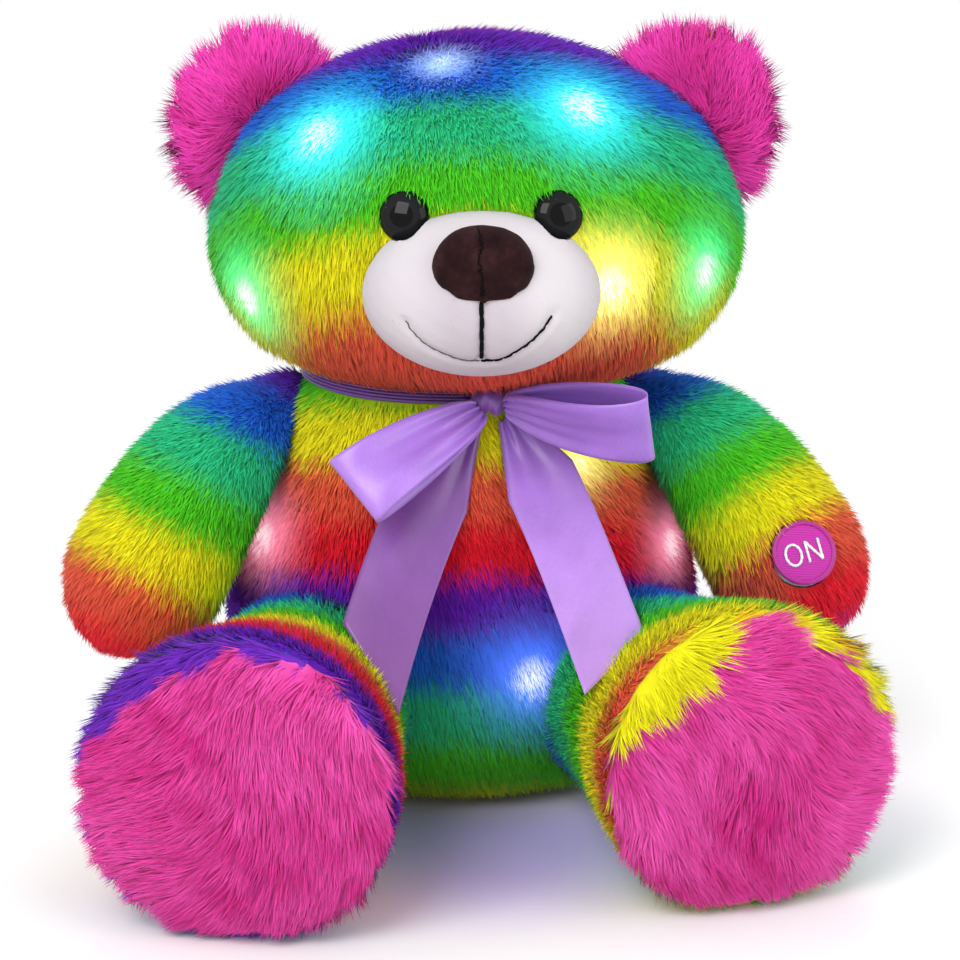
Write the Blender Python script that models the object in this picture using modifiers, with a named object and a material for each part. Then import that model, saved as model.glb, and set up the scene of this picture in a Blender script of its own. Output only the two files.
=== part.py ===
"""Plush night light: a seated striped bear, with lights under its fabric, a push switch under a round patch
on one hand and a battery box behind a zip in its back. Metres, +Z up, facing -Y, standing on z = 0."""

import math

import bmesh
import bpy
from mathutils import Matrix, Vector

# Clearances and cutters
GAP = 0.0003
MERGE = 0.00001
OVERRUN = 0.02
SPACE = 0.6

# Cloth
FABRIC = 0.003
RIBBON = 0.0008

# Torso, its axis at x = 0 and y = 0 while it is built
TORSO_WIDTH = 0.157
TORSO_DEPTH = 0.132
NECK_Z = 0.146
SEAT_CUT = 0.0005
BACK_FLAT = 0.008
BACK_Y = TORSO_DEPTH / 2 - BACK_FLAT
TORSO_STEPS = 24
TORSO_SHARES = (
    (0.60, 1.0), (0.70, 0.93), (0.80, 0.84), (0.885, 0.73), (0.955, 0.61), (1.0, 0.47),
    (1.0, 0.36), (0.96, 0.24), (0.86, 0.13), (0.70, 0.05), (0.46, 0.0),
)

# Head
HEAD_WIDTH = 0.175
HEAD_DEPTH = 0.140
HEAD_X = 0.0045
HEAD_Y = -0.008
NECK_SINK = 0.003
HEAD_BOTTOM_Z = NECK_Z - NECK_SINK
HEAD_TOP_Z = 0.254
HEAD_YAW = math.radians(-2.5)
HEAD_STEPS = 24
NECK_OPENING = 0.030
HEAD_SHARES = (
    (0.0, 1.0), (0.28, 0.975), (0.47, 0.925), (0.66, 0.86), (0.82, 0.765), (0.93, 0.64),
    (0.985, 0.51), (1.0, 0.39), (0.965, 0.26), (0.86, 0.13), (0.74, 0.07), (0.57, 0.025), (0.0, 0.0),
)

# Face, in the head's own axes, its heights as shares of the head's
MUZZLE_Y = -HEAD_DEPTH / 2
MUZZLE_SHARE = 0.365
MUZZLE_RADII = (0.038, 0.028, 0.026)
NOSE_AHEAD = 0.022
NOSE_ABOVE = 0.0135
NOSE_RADII = (0.0175, 0.009, 0.013)
EYE_AZIMUTH = math.radians(20.5)
EYE_SHARE = 0.5765
EYE_RADIUS = 0.008
EYE_DOME = 0.005
EYE_DOME_SHARES = ((0.0, 1.0), (0.45, 0.92), (0.75, 0.72), (0.93, 0.44), (1.0, 0.2), (1.0, 0.0))
EYE_SEAT = 0.001
EYE_STEM_RADIUS = 0.0025
EYE_STEM = 0.012
WASHER_RADIUS = 0.009
WASHER = 0.0015
WASHER_DROP = 0.001
EAR_INSET = 0.0145
EAR_X = HEAD_WIDTH / 2 - EAR_INSET
EAR_Y = 0.013
EAR_SHARE = 0.739
EAR_RADII = (0.030, 0.013, 0.030)
EAR_YAW = math.radians(15)

# Arms: a seam plane on each shoulder, whose normal is the swing's axis
SHOULDER_DROP = 0.027
SHOULDER_Z = NECK_Z - SHOULDER_DROP
SHOULDER_TILT = math.radians(26)
SHOULDER_INSET = 0.003
SHOULDER_OPENING = 0.014
ARM_START_INSET = 0.0185
ARM_START_RISE = 0.0025
ARM_START_X = TORSO_WIDTH / 2 - ARM_START_INSET
ARM_START_Y = 0.001
ARM_START_Z = SHOULDER_Z + ARM_START_RISE
HAND_OUT = 0.0285
HAND_DROP = 0.039
HAND_X = TORSO_WIDTH / 2 + HAND_OUT
HAND_Y = -0.035
HAND_Z = SHOULDER_Z - HAND_DROP
ARM_ARCH = 0.005
ARM_RADIUS = 0.028
ARM_SHARES = (
    (-0.25, 0.22), (-0.19, 0.40), (-0.10, 0.53), (0.0, 0.63), (0.2, 0.84), (0.4, 0.97), (0.68, 1.0),
    (1.0, 0.95), (1.17, 0.78), (1.29, 0.50), (1.35, 0.20),
)

# Legs: a seam plane on each hip, whose normal is the swing's axis
HIP_INSET = 0.0285
HIP_SETBACK = 0.030
HIP_X = TORSO_WIDTH / 2 - HIP_INSET
HIP_Y = HIP_SETBACK - TORSO_DEPTH / 2
HIP_Z = 0.042
HIP_AZIMUTH = math.radians(50)
HIP_TILT = math.radians(-17)
FOOT_RADIUS = 0.048
LEFT_SOLE_OUT = 0.027
RIGHT_SOLE_OUT = 0.030
LEFT_SOLE_AHEAD = 0.112
RIGHT_SOLE_AHEAD = 0.097
SOLE_X = {"left": -HIP_X - LEFT_SOLE_OUT, "right": HIP_X + RIGHT_SOLE_OUT}
SOLE_Y = {"left": HIP_Y - LEFT_SOLE_AHEAD, "right": HIP_Y - RIGHT_SOLE_AHEAD}
LEG_SHARES = ((-0.45, 0.60), (0.0, 0.68), (0.3, 0.71), (0.6, 0.81), (0.85, 0.95), (1.0, 1.0))
PAD_DOME = 0.014
PAD_SHARES = ((0.0, 1.0), (0.40, 0.93), (0.75, 0.66), (0.93, 0.33), (1.0, 0.0))

# Bow
BAND_DROP = 0.001
BAND_TOP_Z = NECK_Z - BAND_DROP
BAND_HEIGHT = 0.0055
BAND = 0.0012
KNOT_X = 0.0065
KNOT_AHEAD = 0.00896
KNOT_RADII = (0.0065, 0.0055, 0.0048)
KNOT_Z = BAND_TOP_Z - KNOT_RADII[2]
RIBBON_WIDTH = 0.025
PINCHED_SHARE = 0.25
LEFT_LOOP_LENGTH = 0.057
RIGHT_LOOP_LENGTH = 0.055
LEFT_LOOP_THICKNESS = 0.014
RIGHT_LOOP_THICKNESS = 0.015
LOOP_LENGTH = {"left": LEFT_LOOP_LENGTH, "right": RIGHT_LOOP_LENGTH}
LOOP_THICKNESS = {"left": LEFT_LOOP_THICKNESS, "right": RIGHT_LOOP_THICKNESS}
LOOP_LEAN = {"left": math.radians(33), "right": math.radians(3)}
LOOP_FORWARD = math.radians(28)
LOOP_AHEAD = 0.0028
LOOP_BEGIN_SHARE = 0.76
LEFT_TAIL_IN = 0.016
RIGHT_TAIL_IN = 0.009
LEFT_TAIL_AHEAD = 0.062
RIGHT_TAIL_AHEAD = 0.077
LEFT_TAIL_RISE = 0.0235
RIGHT_TAIL_RISE = 0.030
TAIL_X = {"left": LEFT_TAIL_IN - HIP_X, "right": HIP_X - RIGHT_TAIL_IN}
TAIL_Y = {"left": HIP_Y - LEFT_TAIL_AHEAD, "right": HIP_Y - RIGHT_TAIL_AHEAD}
TAIL_Z = {"left": FOOT_RADIUS + LEFT_TAIL_RISE, "right": FOOT_RADIUS + RIGHT_TAIL_RISE}
TAIL_SPREAD = 0.0052
TAIL_BEHIND = 0.001
TAIL_MIDDLE_SETBACK = 0.010
TAIL_MIDDLE_DROP = 0.0282
TAIL_SLANT = {"left": math.radians(40), "right": math.radians(28)}
TAIL_OPEN_SHARE = 0.35
TAIL_POINTS = 9
LOOP_POINTS = 15
LOOP_START = math.radians(22)

# Lights: azimuth from the front toward +X, and height as a share of the torso's or the head's
LED_RADIUS = 0.0025
LED_LENGTH = 0.0085
LED_SHARES = ((0.0, 1.0), (0.6, 0.93), (1.0, 0.70), (1.0, 0.0))
LEAD_RADIUS = 0.001
LEAD_BEND = 0.014
LEAD_OVERLAP = 0.001
SPLICE_RADIUS = 0.003
SPLICE_LENGTH = 0.010
TORSO_SPLICE_Y = 0.012
TORSO_SPLICE_Z = 0.106
HEAD_SPLICE_SHARE = 0.351
TORSO_LED_DEGREES = (-68, 37, 67, 16)
TORSO_LED_SHARES = (0.644, 0.822, 0.61, 0.377)
HEAD_LED_DEGREES = (-52, -27, 39, -66, 33, 62)
HEAD_LED_SHARES = (0.793, 0.955, 0.856, 0.315, 0.396, 0.387)

# Switch in the right hand, measured outward from the hand's centre
PRESS_DIRECTION = Vector((0.047, -0.905, 0.423)).normalized()
PATCH_FACE = 0.027
PATCH_RADIUS = 0.01075
PATCH = 0.002
PLUNGER_RADIUS = 0.008
PLUNGER_DISC = 0.0012
PLUNGER_STEM_RADIUS = 0.003
PLUNGER_STEM = 0.0085
PRESS_TRAVEL = 0.0015
HOUSING_RADIUS = 0.0105
HOUSING = 0.0107

# Battery box in its pouch
POUCH_BOTTOM_Z = 0.028
POUCH_WALL = 0.001
POUCH_DEPTH = 0.017
BOX_WALL = 0.0015
CELL_RADIUS = 0.00525
CELL_LENGTH = 0.0445
CELL_NUB_RADIUS = 0.0019
CELL_NUB = 0.0008
CELL_SPACING = 0.0004
CONTACT = 0.0006
CONTACT_CONE = 0.0018
CONTACT_CONE_RADIUS = 0.0026
SCREW_BOSS = 0.005
BOARD_BAY = 0.004
BOARD_WIDTH = 0.030
BOARD_DEPTH = 0.008
BOARD = 0.0012
COVER_PLATE = 0.0018
SCREW_RADIUS = 0.0011
SCREW_LENGTH = 0.008
SCREW_HEAD_RADIUS = 0.0022
SCREW_HEAD = 0.0009

# Zip
ZIP_BOTTOM_Z = 0.031
ZIP_LENGTH = 0.066
CHAIN_WIDTH = 0.005
CHAIN = 0.0019
TAPE_WIDTH = 0.010
TAPE = 0.0009
TAPE_END = 0.003
SLOT_WIDTH = 0.004
SLIDER_WIDTH = 0.009
SLIDER_LENGTH = 0.012
SLIDER_PLATE = 0.0015
LUG = 0.001
LUG_CLEARANCE = 0.0001
LUG_HEIGHT = 0.0032
PIN_RADIUS = 0.0008
EYE_WALL = 0.0008
PULL_WIDTH = 0.007
PULL_NECK = 0.006
PULL_LENGTH = 0.018
PULL = 0.0012

# Base colour, roughness and metallic value of each material
LOOKS = {
    "green plush": ((0.15, 0.62, 0.12), 0.95, 0.0),
    "red plush": ((0.80, 0.07, 0.04), 0.95, 0.0),
    "yellow plush": ((0.80, 0.62, 0.05), 0.95, 0.0),
    "pink plush": ((0.90, 0.09, 0.42), 0.95, 0.0),
    "white plush": ((0.85, 0.84, 0.82), 0.9, 0.0),
    "suede": ((0.07, 0.04, 0.035), 0.85, 0.0),
    "satin": ((0.45, 0.25, 0.62), 0.4, 0.0),
    "patch cloth": ((0.58, 0.02, 0.38), 0.8, 0.0),
    "fibre": ((0.90, 0.90, 0.88), 1.0, 0.0),
    "pouch cloth": ((0.80, 0.80, 0.78), 0.9, 0.0),
    "black plastic": ((0.01, 0.01, 0.01), 0.1, 0.0),
    "white plastic": ((0.80, 0.80, 0.80), 0.4, 0.0),
    "clear plastic": ((0.85, 0.92, 0.95), 0.15, 0.0),
    "lead plastic": ((0.75, 0.75, 0.72), 0.5, 0.0),
    "zip tape": ((0.55, 0.10, 0.35), 0.9, 0.0),
    "steel": ((0.62, 0.62, 0.62), 0.3, 1.0),
    "cell jacket": ((0.20, 0.22, 0.25), 0.35, 0.6),
    "board": ((0.03, 0.25, 0.10), 0.5, 0.0),
}

X_WAY = Vector((1, 0, 0))
Y_WAY = Vector((0, 1, 0))
Z_WAY = Vector((0, 0, 1))
SIDES = {"left": -1, "right": 1}

part_collection = bpy.data.collections.new("plush_night_light")
cutter_collection = bpy.data.collections.new("cutters")


# Placements and shapes


def frame_on(point, normal):
    """A placement with its origin at the point and its Z along the normal."""
    return Matrix.Translation(point) @ Vector(normal).to_track_quat("Z", "Y").to_matrix().to_4x4()


def helper(name, mesh, place):
    """A mesh in the cutters' collection, hidden until it is made a part."""
    obj = bpy.data.objects.new(name, mesh)
    cutter_collection.objects.link(obj)
    obj.matrix_world = place
    obj.hide_render = True
    obj.display_type = "WIRE"
    return obj


def from_bmesh(name, shape, place, smooth=False):
    mesh = bpy.data.meshes.new(name)
    shape.to_mesh(mesh)
    shape.free()
    if smooth:
        mesh.shade_smooth()
        mesh.set_sharp_from_angle(angle=math.radians(40))
    return helper(name, mesh, place)


def box(name, low, high, place=Matrix()):
    low = Vector(low)
    high = Vector(high)
    shape = bmesh.new()
    bmesh.ops.create_cube(shape, size=1)
    stretch = Matrix.Translation((low + high) / 2) @ Matrix.Diagonal((*(high - low), 1))
    bmesh.ops.transform(shape, matrix=stretch, verts=shape.verts)
    return from_bmesh(name, shape, place)


def cone(name, place, low, high, low_radius, high_radius, segments=16):
    shape = bmesh.new()
    bmesh.ops.create_cone(
        shape,
        cap_ends=True,
        segments=segments,
        radius1=low_radius,
        radius2=high_radius,
        depth=high - low,
        matrix=Matrix.Translation(Z_WAY * (low + high) / 2),
    )
    return from_bmesh(name, shape, place, smooth=True)


def cylinder(name, place, low, high, radius, segments=16):
    return cone(name, place, low, high, radius, radius, segments)


def ellipsoid(name, place, radii, segments=20, rings=12):
    shape = bmesh.new()
    bmesh.ops.create_uvsphere(shape, u_segments=segments, v_segments=rings, radius=1)
    bmesh.ops.transform(shape, matrix=Matrix.Diagonal((*radii, 1)), verts=shape.verts)
    return from_bmesh(name, shape, place, smooth=True)


def half_space(name, point, normal):
    """A block that fills the space on the normal's side of a plane."""
    low = (-SPACE / 2, -SPACE / 2, 0)
    high = (SPACE / 2, SPACE / 2, SPACE)
    return box(name, low, high, frame_on(point, normal))


def turned(name, points, steps, place=Matrix(), squeeze=1):
    """A closed form turned round Z from (radius, height) points that run from the top down."""
    rings = [Vector((radius, 0, height)) for radius, height in points]
    if rings[0].x > 0:
        rings.insert(0, Vector((0, 0, rings[0].z)))
    if rings[-1].x > 0:
        rings.append(Vector((0, 0, rings[-1].z)))
    edges = [(index, index + 1) for index in range(len(rings) - 1)]
    return spun(name, rings, edges, steps, place, squeeze)


def turned_ring(name, points, steps, place=Matrix(), squeeze=1):
    """A ring turned round Z from an outline that closes on itself. Its outer side is listed first, from the
    top down."""
    rings = [Vector((radius, 0, height)) for radius, height in points]
    edges = [(index, (index + 1) % len(rings)) for index in range(len(rings))]
    return spun(name, rings, edges, steps, place, squeeze)


def spun(name, rings, edges, steps, place, squeeze):
    mesh = bpy.data.meshes.new(name)
    mesh.from_pydata(rings, edges, [])
    obj = helper(name, mesh, place @ Matrix.Diagonal((1, squeeze, 1, 1)))
    screw = obj.modifiers.new("turn", "SCREW")
    screw.axis = "Z"
    screw.steps = steps
    screw.render_steps = steps
    screw.use_merge_vertices = True
    screw.merge_threshold = MERGE
    return obj


def tube(name, route, radii, rounds):
    """A closed tube along the route, made a mesh so that it can be cut or joined."""
    curve = bpy.data.curves.new(name, "CURVE")
    curve.dimensions = "3D"
    curve.bevel_depth = 1
    curve.bevel_resolution = rounds
    curve.use_fill_caps = True
    spline = curve.splines.new("POLY")
    spline.points.add(len(route) - 1)
    for point, place, radius in zip(spline.points, route, radii):
        point.co = (*place, 1)
        point.radius = radius
    drawn = bpy.data.objects.new(name, curve)
    cutter_collection.objects.link(drawn)
    graph = bpy.context.evaluated_depsgraph_get()
    mesh = bpy.data.meshes.new_from_object(drawn.evaluated_get(graph))
    place = drawn.matrix_world.copy()
    bpy.data.objects.remove(drawn)
    shape = bmesh.new()
    shape.from_mesh(mesh)
    bmesh.ops.remove_doubles(shape, verts=shape.verts, dist=MERGE)
    shape.to_mesh(mesh)
    shape.free()
    return helper(name, mesh, place)


def combine(obj, other, operation):
    step = obj.modifiers.new(operation.lower() + " " + other.name, "BOOLEAN")
    step.operation = operation
    step.object = other


def cut(obj, *others):
    for other in others:
        combine(obj, other, "DIFFERENCE")


def join(obj, *others):
    for other in others:
        combine(obj, other, "UNION")


def trim(obj, planes, inset):
    """Cuts off what lies beyond each plane, moved back by the inset."""
    for name, point, normal in planes:
        cut(obj, half_space(f"{obj.name} {name}", Vector(point) - Vector(normal) * inset, normal))


def finish(obj, look, body):
    """Makes a shape a part: its collection, its own material and the body that it rides on."""
    cutter_collection.objects.unlink(obj)
    part_collection.objects.link(obj)
    obj.hide_render = False
    obj.display_type = "TEXTURED"
    colour, roughness, metallic = LOOKS[look]
    material = bpy.data.materials.new(obj.name)
    material.use_nodes = True
    surface = material.node_tree.nodes["Principled BSDF"]
    surface.inputs["Base Color"].default_value = (*colour, 1)
    surface.inputs["Roughness"].default_value = roughness
    surface.inputs["Metallic"].default_value = metallic
    obj.data.materials.clear()
    obj.data.materials.append(material)
    ride(obj, body)


def ride(obj, body):
    """Parents an object and leaves it where it is."""
    place = obj.matrix_world.copy() if obj.parent else obj.matrix_basis.copy()
    obj.parent = body
    obj.matrix_parent_inverse = world_of(body).inverted()
    obj.matrix_basis = place


def world_of(body):
    """An axis's placement while the root still stands at the origin."""
    return Matrix.Translation(Vector(body["place"]))


def axis(name, point, carrier):
    """An empty on a joint's axis."""
    obj = bpy.data.objects.new(name, None)
    part_collection.objects.link(obj)
    obj.empty_display_size = OVERRUN
    obj["place"] = tuple(point)
    obj.location = point
    if carrier:
        obj.parent = carrier
        obj.matrix_parent_inverse = world_of(carrier).inverted()
    return obj


# Soft forms


class TurnedForm:
    """A stuffed form turned round Z and squeezed in Y."""

    def __init__(self, shares, width, depth, bottom, top, steps, place=Matrix()):
        tall = top - bottom
        self.points = [Vector((width / 2 * r, bottom + tall * h)) for r, h in shares]
        self.squeeze = depth / width
        self.steps = steps
        self.place = place

    def outline(self, inset):
        """The outline moved inward along its normals; points on the axis stay on it."""
        moved = []
        last = len(self.points) - 1
        for index, point in enumerate(self.points):
            way = self.points[min(index + 1, last)] - self.points[max(index - 1, 0)]
            normal = Vector((-way.y, way.x)).normalized()
            inner = point - normal * inset
            moved.append(Vector((inner.x if point.x > 0 else 0, inner.y)))
        return moved

    def solid(self, name, inset, neck=None):
        """The form at an inset, with straight sides up to the neck's height where one is given."""
        points = self.outline(inset)
        if neck is not None and neck > points[0].y:
            points.insert(0, Vector((points[0].x, neck)))
        return turned(name, points, self.steps, self.place, self.squeeze)

    def radius_at(self, height):
        """The half width at a height, and its slope."""
        for upper, lower in zip(self.points, self.points[1:]):
            if upper.y >= height >= lower.y and upper.y > lower.y:
                slope = (upper.x - lower.x) / (upper.y - lower.y)
                return lower.x + slope * (height - lower.y), slope
        raise ValueError(f"no outline at height {height}")

    def on_surface(self, azimuth, height):
        """A placement on the outer face, its Z outward; the azimuth runs from -Y toward +X."""
        wide, slope = self.radius_at(height)
        deep = wide * self.squeeze
        across = math.sin(azimuth)
        ahead = -math.cos(azimuth)
        reach = 1 / math.hypot(across / wide, ahead / deep)
        point = Vector((across * reach, ahead * reach, height))
        normal = Vector((point.x / wide**2, point.y / deep**2, -slope / wide))
        return self.place @ frame_on(point, normal)


def limb(name, start, end, arch, shares, radius, inset, rounds):
    """A stuffed limb: a tube whose radius swells and tapers along the way from start to end."""
    way = end - start
    reach = [share for share, _ in shares]
    reach[-1] -= inset / way.length
    reach[0] += inset / way.length
    route = []
    for share in reach:
        lift = arch * math.sin(math.pi * min(max(share, 0), 1))
        route.append(start + way * share + Z_WAY * lift)
    radii = [radius * size - inset for _, size in shares]
    return tube(name, route, radii, rounds)


HEAD_PLACE = Matrix.Translation((HEAD_X, HEAD_Y, 0)) @ Matrix.Rotation(HEAD_YAW, 4, "Z")
torso_form = TurnedForm(TORSO_SHARES, TORSO_WIDTH, TORSO_DEPTH, -SEAT_CUT, NECK_Z, TORSO_STEPS)
head_form = TurnedForm(
    HEAD_SHARES, HEAD_WIDTH, HEAD_DEPTH, HEAD_BOTTOM_Z, HEAD_TOP_Z, HEAD_STEPS, HEAD_PLACE
)
KNOT_Y = -torso_form.radius_at(BAND_TOP_Z)[0] * torso_form.squeeze - KNOT_AHEAD
FLOOR = ("floor", (0, 0, 0), (0, 0, -1))


def head_z(share):
    """The height at a share of the head's own height."""
    return HEAD_BOTTOM_Z + (HEAD_TOP_Z - HEAD_BOTTOM_Z) * share


def shoulder_seam(side):
    """The seam plane's point and normal: it lies a little inside the torso's flank."""
    normal = Vector((SIDES[side] * math.cos(SHOULDER_TILT), 0, math.sin(SHOULDER_TILT)))
    half, _ = torso_form.radius_at(SHOULDER_Z)
    point = Vector((SIDES[side] * half, 0, SHOULDER_Z)) - normal * SHOULDER_INSET
    return point, normal


def hip_seam(side):
    ahead = math.cos(HIP_TILT)
    normal = Vector((
        SIDES[side] * math.sin(HIP_AZIMUTH) * ahead,
        -math.cos(HIP_AZIMUTH) * ahead,
        math.sin(HIP_TILT),
    ))
    return Vector((SIDES[side] * HIP_X, HIP_Y, HIP_Z)), normal


def hand_centre(side):
    return Vector((SIDES[side] * HAND_X, HAND_Y, HAND_Z))


def sole_centre(side):
    return Vector((SOLE_X[side], SOLE_Y[side], FOOT_RADIUS - SEAT_CUT))


# Torso


def torso_solid(name, inset, neck):
    planes = [("back", (0, BACK_Y, 0), (0, 1, 0)), FLOOR]
    for side in SIDES:
        planes.append((side + " shoulder", *shoulder_seam(side)))
        planes.append((side + " hip", *hip_seam(side)))
    solid = torso_form.solid(name, inset, neck)
    trim(solid, planes, inset)
    return solid


def torso(root):
    cover = torso_solid("torso_cover", 0, NECK_Z)
    cut(cover, torso_solid("torso cavity", FABRIC, NECK_Z + OVERRUN))
    slot = (SLOT_WIDTH / 2, BACK_Y + OVERRUN, ZIP_BOTTOM_Z + ZIP_LENGTH - TAPE_END)
    cut(cover, box("zip slot", (-slot[0], 0, ZIP_BOTTOM_Z + TAPE_END), slot))
    stuffing = torso_solid("torso_stuffing", FABRIC + GAP, NECK_Z)
    finish(cover, "red plush", root)
    finish(stuffing, "fibre", root)
    return cover, stuffing


# Head


def head(body):
    neck = ("neck", (0, 0, NECK_Z + GAP), (0, 0, -1))
    cover = head_form.solid("head_cover", 0)
    trim(cover, [neck], 0)
    cut(cover, head_form.solid("head cavity", FABRIC))
    up = Matrix()
    cut(cover, cylinder("neck opening", up, NECK_Z - OVERRUN, HEAD_BOTTOM_Z + OVERRUN, NECK_OPENING, 24))
    stuffing = head_form.solid("head_stuffing", FABRIC + GAP)
    plug_top = HEAD_BOTTOM_Z + OVERRUN
    join(stuffing, cylinder("neck plug", up, NECK_Z + GAP, plug_top, NECK_OPENING - GAP, 24))
    finish(cover, "green plush", body)
    finish(stuffing, "fibre", body)
    return cover, stuffing


def face(body, cover, stuffing):
    skin = head_form.solid("muzzle seat", -GAP)
    muzzle_place = HEAD_PLACE @ Matrix.Translation((0, MUZZLE_Y, head_z(MUZZLE_SHARE)))
    muzzle = ellipsoid("muzzle", muzzle_place, MUZZLE_RADII, 20, 12)
    cut(muzzle, skin)
    nose_place = muzzle_place @ Matrix.Translation((0, -NOSE_AHEAD, NOSE_ABOVE))
    nose = ellipsoid("nose", nose_place, NOSE_RADII, 16, 8)
    seat_radii = [radius + GAP for radius in MUZZLE_RADII]
    cut(nose, ellipsoid("nose seat", muzzle_place, seat_radii, 20, 12))
    for side, sign in SIDES.items():
        place = head_form.on_surface(sign * EYE_AZIMUTH, head_z(EYE_SHARE))
        eye(side, place, body, cover, stuffing, muzzle)
    finish(muzzle, "white plush", body)
    finish(nose, "suede", body)


def eye(side, place, body, cover, stuffing, muzzle):
    """A safety eye: a dome on a stem that goes through the cover into a lock washer."""
    base = -EYE_SEAT + GAP
    dome = [(EYE_RADIUS * r, base + EYE_DOME * h) for r, h in EYE_DOME_SHARES]
    globe = turned("eye_" + side, dome, 14, place)
    stem = cylinder(side + " stem", place, base - EYE_STEM, base + EYE_DOME / 2, EYE_STEM_RADIUS, 10)
    join(globe, stem)
    reach = base - EYE_STEM - GAP
    seat = cylinder(side + " eye seat", place, -EYE_SEAT, OVERRUN, EYE_RADIUS + GAP, 18)
    hole = cylinder(side + " stem hole", place, reach, OVERRUN, EYE_STEM_RADIUS + GAP, 12)
    cut(cover, seat, hole)
    cut(muzzle, seat)
    washer_top = -(FABRIC + WASHER_DROP)
    washer = cylinder("eye_washer_" + side, place, washer_top - WASHER, washer_top, WASHER_RADIUS, 14)
    cut(washer, hole)
    pocket_low = washer_top - WASHER - GAP
    pocket = cylinder(side + " washer pocket", place, pocket_low, 0, WASHER_RADIUS + 2 * GAP, 14)
    cut(stuffing, pocket, hole)
    finish(globe, "black plastic", body)
    finish(washer, "white plastic", body)


def ears(body):
    skin = head_form.solid("ear seat", -GAP)
    for side, sign in SIDES.items():
        turn = Matrix.Rotation(-sign * EAR_YAW, 4, "Z")
        place = HEAD_PLACE @ Matrix.Translation((sign * EAR_X, EAR_Y, head_z(EAR_SHARE))) @ turn
        for half, way, look in (("front", -1, "pink plush"), ("back", 1, "green plush")):
            ear = ellipsoid(f"ear_{side}_{half}", place, EAR_RADII, 18, 12)
            middle = place @ Vector((0, way * GAP / 2, 0))
            inward = place.to_3x3() @ Vector((0, -way, 0))
            cut(ear, half_space(f"{side} ear {half} split", middle, inward))
            cut(ear, skin)
            finish(ear, look, body)


# Limbs


def arm(side, body):
    start = Vector((SIDES[side] * ARM_START_X, ARM_START_Y, ARM_START_Z))
    point, normal = shoulder_seam(side)
    seam = ("seam", point + normal * GAP, -normal)
    solids = []
    for name, inset in (("_arm_cover", 0), (" arm cavity", FABRIC), ("_arm_stuffing", FABRIC + GAP)):
        solid = limb(side + name, start, hand_centre(side), ARM_ARCH, ARM_SHARES, ARM_RADIUS, inset, 6)
        trim(solid, [seam], inset)
        solids.append(solid)
    cover, cavity, stuffing = solids
    opening = frame_on(point, normal)
    cut(cover, cavity)
    cut(cover, cylinder(side + " arm opening", opening, -OVERRUN, OVERRUN / 2, SHOULDER_OPENING, 20))
    finish(cover, "green plush", body)
    finish(stuffing, "fibre", body)
    return cover, stuffing


def leg(side, body):
    point, normal = hip_seam(side)
    end = sole_centre(side)
    start = point
    seam = ("seam", point + normal * GAP, -normal)
    solids = []
    for name, inset in (("_leg_cover", 0), (" leg cavity", FABRIC), ("_leg_stuffing", FABRIC + GAP)):
        solid = limb(side + name, start, end, 0, LEG_SHARES, FOOT_RADIUS, inset, 8)
        trim(solid, [FLOOR], inset)
        solids.append(solid)
    cover, cavity, stuffing = solids
    trim(cover, [seam], 0)
    trim(stuffing, [seam], 0)
    cut(cover, cavity)
    place = frame_on(end, end - start) @ Matrix.Translation(Z_WAY * GAP)
    dome = [(FOOT_RADIUS * r, PAD_DOME * h) for r, h in PAD_SHARES]
    pad = turned(side + "_sole_pad", dome, 24, place)
    trim(pad, [FLOOR], 0)
    finish(cover, "yellow plush", body)
    finish(stuffing, "fibre", body)
    finish(pad, "pink plush", body)


# Bow


def ribbon(name, route, widths, place, look, body):
    """A strip of satin: a grid laid along the route, its width square to the route's plane, made thick."""
    shape = bmesh.new()
    bmesh.ops.create_grid(shape, x_segments=len(route) - 1, y_segments=2, size=1)
    for vertex in shape.verts:
        index = round((vertex.co.x + 1) / 2 * (len(route) - 1))
        centre, across = route[index]
        vertex.co = centre + across * (vertex.co.y * widths[index] / 2)
    strip = from_bmesh(name, shape, place, smooth=True)
    thick = strip.modifiers.new("cloth", "SOLIDIFY")
    thick.thickness = RIBBON
    thick.offset = 0
    finish(strip, look, body)


def bow(root):
    place = Matrix.Translation((KNOT_X, KNOT_Y, KNOT_Z))
    knot = ellipsoid("bow_knot", place, KNOT_RADII, 14, 8)
    squeeze = torso_form.squeeze
    top, _ = torso_form.radius_at(BAND_TOP_Z)
    low, _ = torso_form.radius_at(BAND_TOP_Z - BAND_HEIGHT)
    inner = GAP / squeeze
    outer = inner + BAND
    corners = ((top + outer, 0), (low + outer, BAND_HEIGHT), (low + inner, BAND_HEIGHT), (top + inner, 0))
    outline = [(radius, BAND_TOP_Z - drop) for radius, drop in corners]
    band = turned_ring("neck_ribbon", outline, TORSO_STEPS, Matrix(), squeeze)
    above, below = outline[:2]
    clear_outline = [(above[0] + inner, above[1] + GAP), (below[0] + inner, below[1] - GAP)]
    cut(knot, turned("knot seat", clear_outline, TORSO_STEPS, Matrix(), squeeze))
    finish(band, "satin", root)
    finish(knot, "satin", root)
    for side, sign in SIDES.items():
        bow_loop(side, sign, place, root)
        bow_tail(side, sign, root)


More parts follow.
